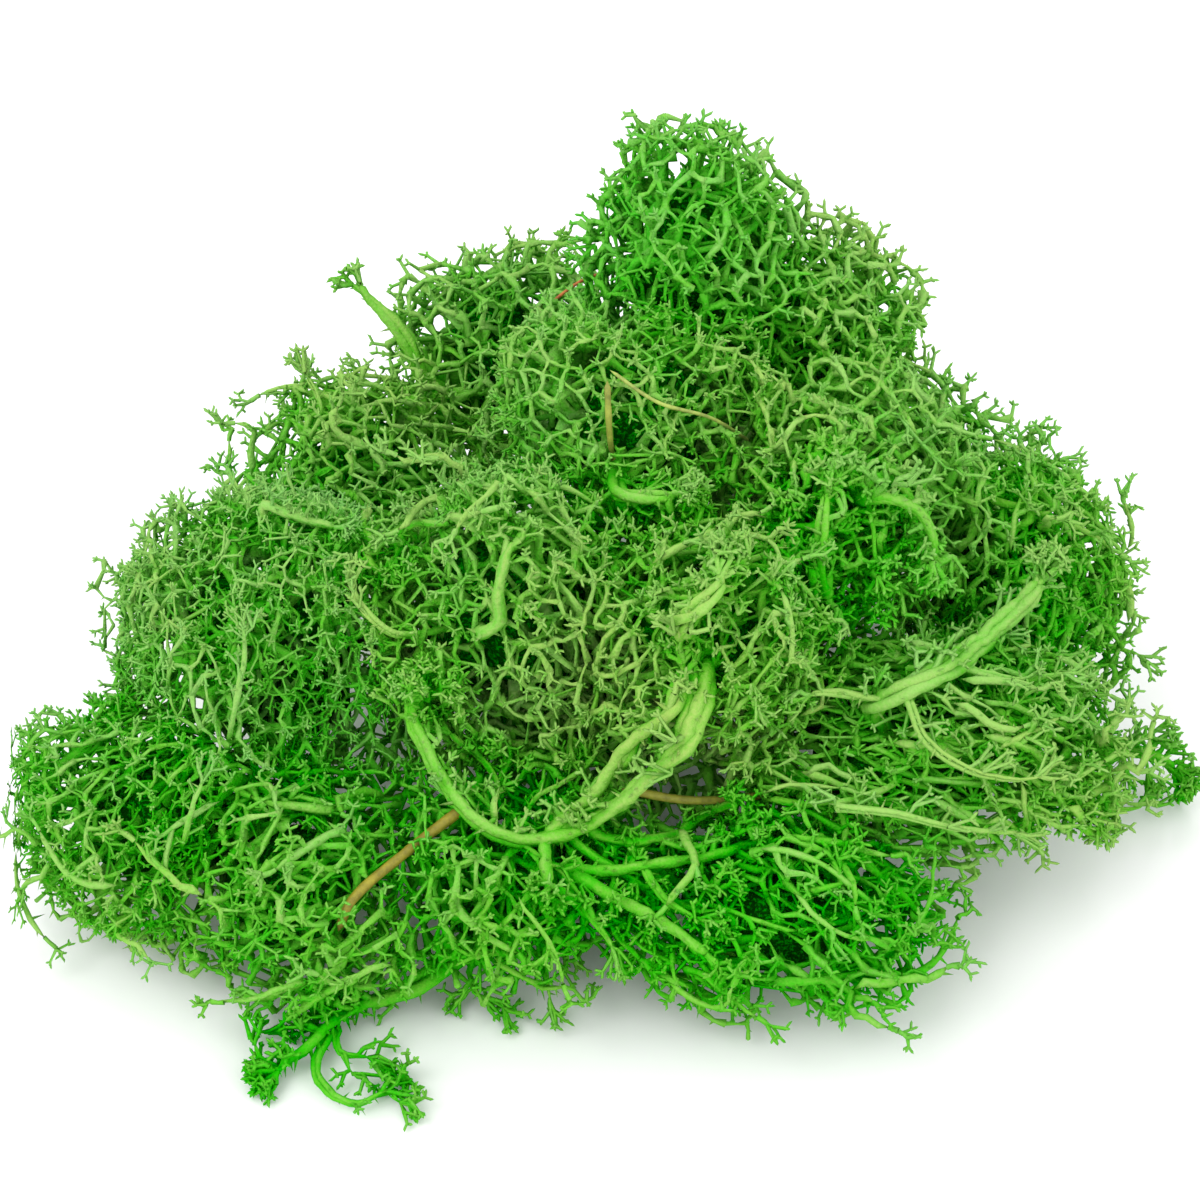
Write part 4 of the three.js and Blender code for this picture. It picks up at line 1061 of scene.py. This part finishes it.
    def stem(self, radii, path, limb=False):
        """A bare stem of a few cords, with side twigs along it and a forked end."""
        if limb:
            path = np.vstack([path[:1] - LIMB_ROOT * heap_outward(path[:1]), path])
        stops = along_curve(path, STEP)
        stops[1:] += np.cumsum(self.rng.normal(size=(len(stops) - 1, 3)) * 0.05, axis=0)
        stops[:, 2] = np.maximum(stops[:, 2], 0.5)
        ahead = unit(np.gradient(stops, axis=0))
        kind = "limb" if limb else "thin"
        if self.name == "back_left_tuft":
            kind = "lone"
        elif radii[0] >= THICK_STEM:
            kind = "fan" if self.name == "front_right_tuft" else "thick"
        reach, spread, stars, stout, cords, share, short, light = HABITS[kind]
        k = max(3, len(stops) - short)
        width = np.linspace(*radii, k) * share
        if cords > 1:
            width[-4:] *= np.linspace(0.95, 0.6, 4)[-k:]
        self.cords(stops[:k], ahead[:k], width, cords, light, 0.2 if limb else 0.09)
        if kind != "lone":
            count = max(1, k // (3 if kind == "thick" else 4))
            places = np.sort(self.rng.choice(np.arange(1 + k // 6, k), count, replace=False))
            lead = ahead[places]
            side = unit(np.cross(lead, self.rng.normal(size=lead.shape)) + np.array((0, 0.9, 0.7)))
            aim = unit(lead * 0.9 + side * 0.9)
            tip = stops[places] + aim * reach * (0.7 + 0.7 * self.rng.random((len(places), 1)))
            tip[:, 2] = np.maximum(tip[:, 2], 0.8)
            self.dome(stops[places], unit(lead + side * 0.4), tip, aim, spread, stars, 0.2, stout,
                      0.5 * np.mean(width))
        places = np.arange(1, k - 1)
        self.spurs(stops[places], ahead[places], heap_outward(stops[places]),
                   np.clip(0.5 * width[places], 0.15, 0.35), 1.0 + 0.7 * width.mean())
        if kind == "thick":
            for _ in range(3):
                aim = unit(ahead[k - 1] + 0.6 * unit(self.rng.normal(size=3)))
                bend = unit(aim + 0.5 * unit(self.rng.normal(size=3)))
                fork = stops[k - 1] + np.array([-0.5 * ahead[k - 1], 1.8 * aim, 1.8 * aim + 2.2 * bend])
                self.stem((0.9 * width[-1], 0.3), fork, limb=True)
            return
        end = np.repeat(stops[k - 1:k], 3, 0)
        lead = np.repeat(ahead[k - 1:k], 3, 0)
        aim = unit(lead + 0.55 * unit(self.rng.normal(size=(3, 3))))
        tip = end + aim * reach
        tip[:, 2] = np.maximum(tip[:, 2], 0.8)
        self.dome(end - lead * 0.4, unit(lead + 0.4 * aim), tip, aim, spread, stars, 0.2, stout,
                  0.8 * width[-1])

    def cords(self, stops, ahead, width, count, light, ridge):
        """The cords that twist round each other along a stem."""
        k = len(stops)
        side = unit(np.cross(ahead, (0.3, 0.2, 1)))
        across = np.cross(ahead, side)
        for cord in range(count):
            drift = np.cumsum(self.rng.normal(size=(2, k)) * 0.12, axis=1)
            angle = cord * 2 * math.pi / count + np.linspace(0, 2.5, k) + drift[0]
            apart = 0.5 * width * (1 + drift[1]).clip(0.5, 1.6) * (count > 1)
            away = side * np.cos(angle)[:, None] + across * np.sin(angle)[:, None]
            line = stops + apart[:, None] * away
            size = (0.6 if count > 1 else 1) * width * (1 + 0.08 * self.rng.normal(size=k))
            size = size * (0.8 + 0.4 * self.rng.random())
            cluster = np.array([[light, 0]]) + 0.5 * (self.rng.random((1, 2)) - 0.5)
            shade = self.shade(line[None], np.zeros((1, k)), cluster)
            self.strands.add(line[None], size[None], *shade, 8, pointed=2, ridge=ridge)


# ---------------------------------------------------------------- materials

def node(tree, kind, place, inputs=None, **settings):
    """A new shader node, with its inputs linked or set."""
    made = tree.nodes.new(kind)
    made.location = place
    for key, value in settings.items():
        setattr(made, key, value)
    for key, value in (inputs or {}).items():
        if isinstance(value, bpy.types.NodeSocket):
            tree.links.new(value, made.inputs[key])
        else:
            made.inputs[key].default_value = value
    return made


def ramp(tree, place, value, stops):
    """The colour that goes with a value, from stops that are each a position and a colour."""
    made = node(tree, "ShaderNodeValToRGB", place, {"Fac": value})
    elements = made.color_ramp.elements
    for _ in stops[2:]:
        elements.new(0.5)
    for element, (position, colour) in zip(elements, stops, strict=True):
        element.position, element.color = position, (*colour, 1)
    return made.outputs["Color"]


def moss_group(sizes):
    """Colour of moss: painted shade makes it deep green in its depths and clefts, and painted light and
    its pale stems make it paler outside; its hue makes it cooler or yellower.
    """
    group = bpy.data.node_groups.new("Moss colour", "ShaderNodeTree")
    for name in ("Light", "Hue"):
        group.interface.new_socket(name, in_out="INPUT", socket_type="NodeSocketFloat")
    mottle = group.interface.new_socket("Mottle", in_out="INPUT", socket_type="NodeSocketFloat")
    mottle.default_value = 0.3
    group.interface.new_socket("Colour", in_out="OUTPUT", socket_type="NodeSocketColor")
    inside = group.nodes.new("NodeGroupInput")
    place = node(group, "ShaderNodeTexCoord", (-900, -200))
    felt = node(group, "ShaderNodeTexNoise", (-700, -200), {
        "Vector": place.outputs["Object"], "Scale": 2500.0, "Detail": 3.0, "Roughness": 0.65})
    uneven = node(group, "ShaderNodeMath", (-500, -200), {0: felt.outputs["Fac"], 1: 0.5},
                  operation="SUBTRACT")
    light = node(group, "ShaderNodeMath", (-300, 0), {
        0: uneven.outputs["Value"], 1: inside.outputs["Mottle"], 2: inside.outputs["Light"]},
        operation="MULTIPLY_ADD")
    # painted shade and light: the greens run from the shade of hidden, deep and cleft moss to the pale of
    # open moss and stems
    shaded_greens = ramp(group, (-100, 100), light.outputs["Value"], (
        (0.0, sizes.shade_core_green), (0.06, sizes.hidden_shade_green), (0.18, sizes.deep_shade_green),
        (0.38, sizes.cleft_shade_green), (0.66, sizes.moss_green), (1.0, sizes.pale_and_lit_green)))
    tint = ramp(group, (-100, -200), inside.outputs["Hue"], ((0.0, COOL_TINT), (1.0, WARM_TINT)))
    out = group.nodes.new("NodeGroupOutput")
    tinted = node(group, "ShaderNodeVectorMath", (250, 0), {0: shaded_greens, 1: tint}, operation="MULTIPLY")
    group.links.new(tinted.outputs["Vector"], out.inputs["Colour"])
    return group


def rough_material(name, felt, bump, roughness):
    """A material with a fine bumpy grain, of which felt holds the noise's values and bump the depth's."""
    material = bpy.data.materials.new(name)
    material.use_nodes = True
    tree = material.node_tree
    shader = tree.nodes["Principled BSDF"]
    shader.inputs["Roughness"].default_value = roughness
    place = node(tree, "ShaderNodeTexCoord", (-1000, -300))
    grain = node(tree, "ShaderNodeTexNoise", (-800, -300), {"Vector": place.outputs["Object"]} | felt)
    raised = node(tree, "ShaderNodeBump", (-450, -300), {"Height": grain.outputs["Fac"]} | bump)
    tree.links.new(raised.outputs["Normal"], shader.inputs["Normal"])
    return material, tree, shader, grain


def moss_material(group):
    """Matt felt, coloured by the light and hue on its vertices."""
    material, tree, shader, _ = rough_material(
        "Moss", {"Scale": 3500.0, "Detail": 2.0}, {"Strength": 0.6, "Distance": 0.0003}, 1.0)
    shader.inputs["Specular IOR Level"].default_value = 0.0
    light = node(tree, "ShaderNodeAttribute", (-700, 200), attribute_name="light")
    hue = node(tree, "ShaderNodeAttribute", (-700, 0), attribute_name="hue")
    colour = node(tree, "ShaderNodeGroup", (-450, 100), node_tree=group)
    colour.inputs["Mottle"].default_value = 0.5
    tree.links.new(light.outputs["Fac"], colour.inputs["Light"])
    tree.links.new(hue.outputs["Fac"], colour.inputs["Hue"])
    tree.links.new(colour.outputs["Colour"], shader.inputs["Base Color"])
    return material


def straw_material(name, *colours):
    """Dry stalk, whose colour goes from the first to the last by its hue."""
    material, tree, shader, grain = rough_material(
        name, {"Scale": 900.0, "Detail": 4.0, "Roughness": 0.7}, {"Strength": 0.4, "Distance": 0.0001}, 0.6)
    hue = node(tree, "ShaderNodeAttribute", (-800, 200), attribute_name="hue")
    stops = [(k / (len(colours) - 1), colour) for k, colour in enumerate(colours)]
    by_hue = ramp(tree, (-600, 200), hue.outputs["Fac"], stops)
    depth = node(tree, "ShaderNodeMapRange", (-500, 0), {
        "Value": grain.outputs["Fac"], "From Min": 0.3, "From Max": 0.7, "To Min": 0.55, "To Max": 1.3})
    colour = node(tree, "ShaderNodeVectorMath", (-250, 100),
                  {0: by_hue, 1: depth.outputs["Result"]}, operation="MULTIPLY")
    tree.links.new(colour.outputs["Vector"], shader.inputs["Base Color"])
    return material


# ---------------------------------------------------------------- settings

class MossSizes(bpy.types.PropertyGroup):
    """Sizes and colours of the clump and its stage."""

    twig_thickness: bpy.props.FloatProperty(
        name="Twig thickness", description="Thickness of the fine twigs against each tuft's own",
        subtype="FACTOR", min=0.2, max=3, default=1)
    prong_length: bpy.props.FloatProperty(
        name="Prong length", description="Length of the twigs' last prongs against each tuft's own",
        subtype="FACTOR", min=0.2, max=3, default=1)
    dome_depth: bpy.props.FloatProperty(
        name="Dome depth", description="How deep under the clump's skin the domes of twigs lie",
        unit="LENGTH", precision=5, min=0, max=0.003, default=0.0008)
    dome_spacing: bpy.props.FloatProperty(
        name="Dome spacing", description="Distance between the domes that fill up the clump's skin",
        unit="LENGTH", precision=5, min=0.003, max=0.02, default=0.0056)
    inner_holes: bpy.props.FloatProperty(
        name="Inner holes", description="Width of the holes in the net of struts deep in the tufts",
        unit="LENGTH", precision=5, min=0.0015, max=0.01, default=0.0025)
    view_distance: bpy.props.FloatProperty(
        name="View distance", description="How far the camera is from what it looks at",
        unit="LENGTH", precision=4, min=0.1, max=3, default=VIEW_DISTANCE * MM)
    view_height: bpy.props.FloatProperty(
        name="View height", description="How high above the floor's plane the camera looks from",
        subtype="ANGLE", min=0, max=1.5, default=VIEW_HEIGHT)
    # painted shade: the near black of the cores
    shade_core_green: bpy.props.FloatVectorProperty(
        name="Core green", description="Colour of the tufts' cores", subtype="COLOR", size=3,
        min=0, max=1, default=(0.002, 0.05, 0.001))
    # painted shade: the most hidden moss
    hidden_shade_green: bpy.props.FloatVectorProperty(
        name="Dark green", description="Colour of the most hidden moss", subtype="COLOR", size=3,
        min=0, max=1, default=(0.001, 0.32, 0.0003))
    # painted shade: moss deep in the clump
    deep_shade_green: bpy.props.FloatVectorProperty(
        name="Deep green", description="Colour of moss deep in the clump", subtype="COLOR", size=3,
        min=0, max=1, default=(0.002, 0.46, 0.001))
    # painted shade: moss in the clefts
    cleft_shade_green: bpy.props.FloatVectorProperty(
        name="Cool green", description="Colour of moss in the clefts", subtype="COLOR", size=3,
        min=0, max=1, default=(0.03, 0.475, 0.004))
    moss_green: bpy.props.FloatVectorProperty(
        name="Moss green", description="Colour of most twigs", subtype="COLOR", size=3, min=0, max=1,
        default=(0.12, 0.48, 0.034))
    # the palest stems, and painted light where moss lies open
    pale_and_lit_green: bpy.props.FloatVectorProperty(
        name="Pale green", description="Colour of the palest stems", subtype="COLOR", size=3, min=0, max=1,
        default=(0.26, 0.5, 0.135))


# ---------------------------------------------------------------- operators

def shown(mesh, name, material):
    """Links a mesh as the piece that stands for a CAD node."""
    piece = bpy.data.objects.new(name + "_fine", mesh)
    bpy.context.scene.collection.objects.link(piece)
    mesh.materials.append(material)
    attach(piece, "root")
    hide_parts(name)
    return piece


class MOSS_OT_tufts(bpy.types.Operator):
    """Grow every tuft, with its stems and sprigs"""

    bl_idname = "moss.tufts"
    bl_label = "Tufts"

    def execute(self, context):
        sizes = context.scene.moss_sizes
        material = moss_material(moss_group(sizes))
        limbs = {name: [(radii, on_skin(trace)) for radii, trace in LIMBS.get(name, ())] for name in TUFTS}
        stretches = bare_stretches(limbs)
        growers = [Grower(name, stretches, sizes) for name in TUFTS]
        tips = np.concatenate([tuft.main_branches() for tuft in growers])
        between = skin_points(in_mm(sizes.dome_spacing), tips, 5)
        owner = nearest_tuft(between)
        for index, tuft in enumerate(growers):
            tuft.core()
            tuft.covering(between[(owner == index) & ~over_stems(between, stretches)])
            tuft.combed()
            tuft.net(tuft.hole, NET_TOP, NET_TOP + NET_LAYER * tuft.hole, tuft.strut, tuft.sprouts)
            tuft.net(in_mm(sizes.inner_holes), *DEEP_NET)
            for radii, path in STEMS.get(tuft.name, ()):
                tuft.stem(radii, path)
            for radii, path in limbs[tuft.name]:
                tuft.stem(radii, path, limb=True)
        openness = Openness(np.concatenate([tuft.strands.points for tuft in growers]))
        for tuft in growers:
            shown(tuft.strands.mesh(tuft.name, openness), tuft.name, material)
        return {"FINISHED"}


class MOSS_OT_straws(bpy.types.Operator):
    """Make the dry straws and needles"""

    bl_idname = "moss.straws"
    bl_label = "Straws"

    def execute(self, context):
        straw = straw_material("Straw", (0.26, 0.22, 0.012), (0.3, 0.3, 0.03), (0.33, 0.42, 0.08))
        red = straw_material("Red needle", (0.42, 0.1, 0.015), (0.5, 0.16, 0.03))
        for index, (name, (ends, paleness, path)) in enumerate(STRAWS.items()):
            stops = along_curve(path, STEP)[None]
            k = stops.shape[1]
            strands = Strands(index)
            radii = (np.linspace(*ends, k) * (1 + 0.04 * strands.rng.normal(size=k)))[None]
            strands.add(stops, radii, np.full((1, k), 0.5), np.full((1, k), paleness), 10, pointed=2)
            shown(strands.mesh(name), name, red if name == "red_needle" else straw)
        return {"FINISHED"}


class MOSS_OT_stage(bpy.types.Operator):
    """Set the floor, the lights and the camera"""

    bl_idname = "moss.stage"
    bl_label = "Stage"

    def execute(self, context):
        scene = context.scene
        scene.view_settings.view_transform = "Standard"
        sheet = bpy.data.meshes.new("Floor")
        edges = (-FLOOR_REACH, FLOOR_REACH)
        sheet.from_pydata([(x, y, 0) for x in edges for y in edges], [], [(0, 2, 3, 1)])
        floor = bpy.data.objects.new("Floor", sheet)
        floor.location.z = -FLOOR_GAP
        scene.collection.objects.link(floor)
        paper = bpy.data.materials.new("Paper")
        paper.use_nodes = True
        shader = paper.node_tree.nodes["Principled BSDF"]
        shader.inputs["Base Color"].default_value = FLOOR_COLOUR
        shader.inputs["Roughness"].default_value = FLOOR_ROUGHNESS
        floor.data.materials.append(paper)
        world = bpy.data.worlds.new("Studio")
        scene.world = world
        world.use_nodes = True
        sky = world.node_tree.nodes["Background"]
        sky.inputs["Color"].default_value = (1, 1, 1, 1)
        sky.inputs["Strength"].default_value = SKY_STRENGTH
        for name, place, size, power in LAMPS:
            light = bpy.data.lights.new(name, "AREA")
            light.size, light.energy = size, power
            lamp = bpy.data.objects.new(name, light)
            lamp.location = place
            lamp.rotation_mode = "QUATERNION"
            lamp.rotation_quaternion = (Vector((0, 0, LAMP_AIM)) - Vector(place)).to_track_quat("-Z", "Y")
            scene.collection.objects.link(lamp)
        camera = bpy.data.objects.new("Camera", bpy.data.cameras.new("Camera"))
        scene.collection.objects.link(camera)
        camera.data.lens = LENS
        camera.data.clip_start = NEAREST_SEEN
        sizes = scene.moss_sizes
        back = Vector((0, -math.cos(sizes.view_height), math.sin(sizes.view_height)))
        camera.location = Vector((0, 0, VIEW_AIM * MM)) + back * sizes.view_distance
        camera.rotation_mode = "QUATERNION"
        camera.rotation_quaternion = (-back).to_track_quat("-Z", "Y")
        scene.camera = camera
        return {"FINISHED"}


class MOSS_PT_panel(bpy.types.Panel):
    """Lists the clump's pieces and settings"""

    bl_label = "Reindeer moss"
    bl_idname = "MOSS_PT_panel"
    bl_space_type = "VIEW_3D"
    bl_region_type = "UI"
    bl_category = "Moss"

    def draw(self, context):
        for name in MossSizes.__annotations__:
            self.layout.prop(context.scene.moss_sizes, name)
        for operator in ("moss.tufts", "moss.straws", "moss.stage"):
            self.layout.operator(operator)


CLASSES = (MossSizes, MOSS_OT_tufts, MOSS_OT_straws, MOSS_OT_stage, MOSS_PT_panel)


def register():
    for item in CLASSES:
        bpy.utils.register_class(item)
    bpy.types.Scene.moss_sizes = bpy.props.PointerProperty(type=MossSizes)


def unregister():
    del bpy.types.Scene.moss_sizes
    for item in reversed(CLASSES):
        bpy.utils.unregister_class(item)


def main():
    register()
    bpy.ops.moss.tufts()
    bpy.ops.moss.straws()
    bpy.ops.moss.stage()


if __name__ == "__main__":
    main()
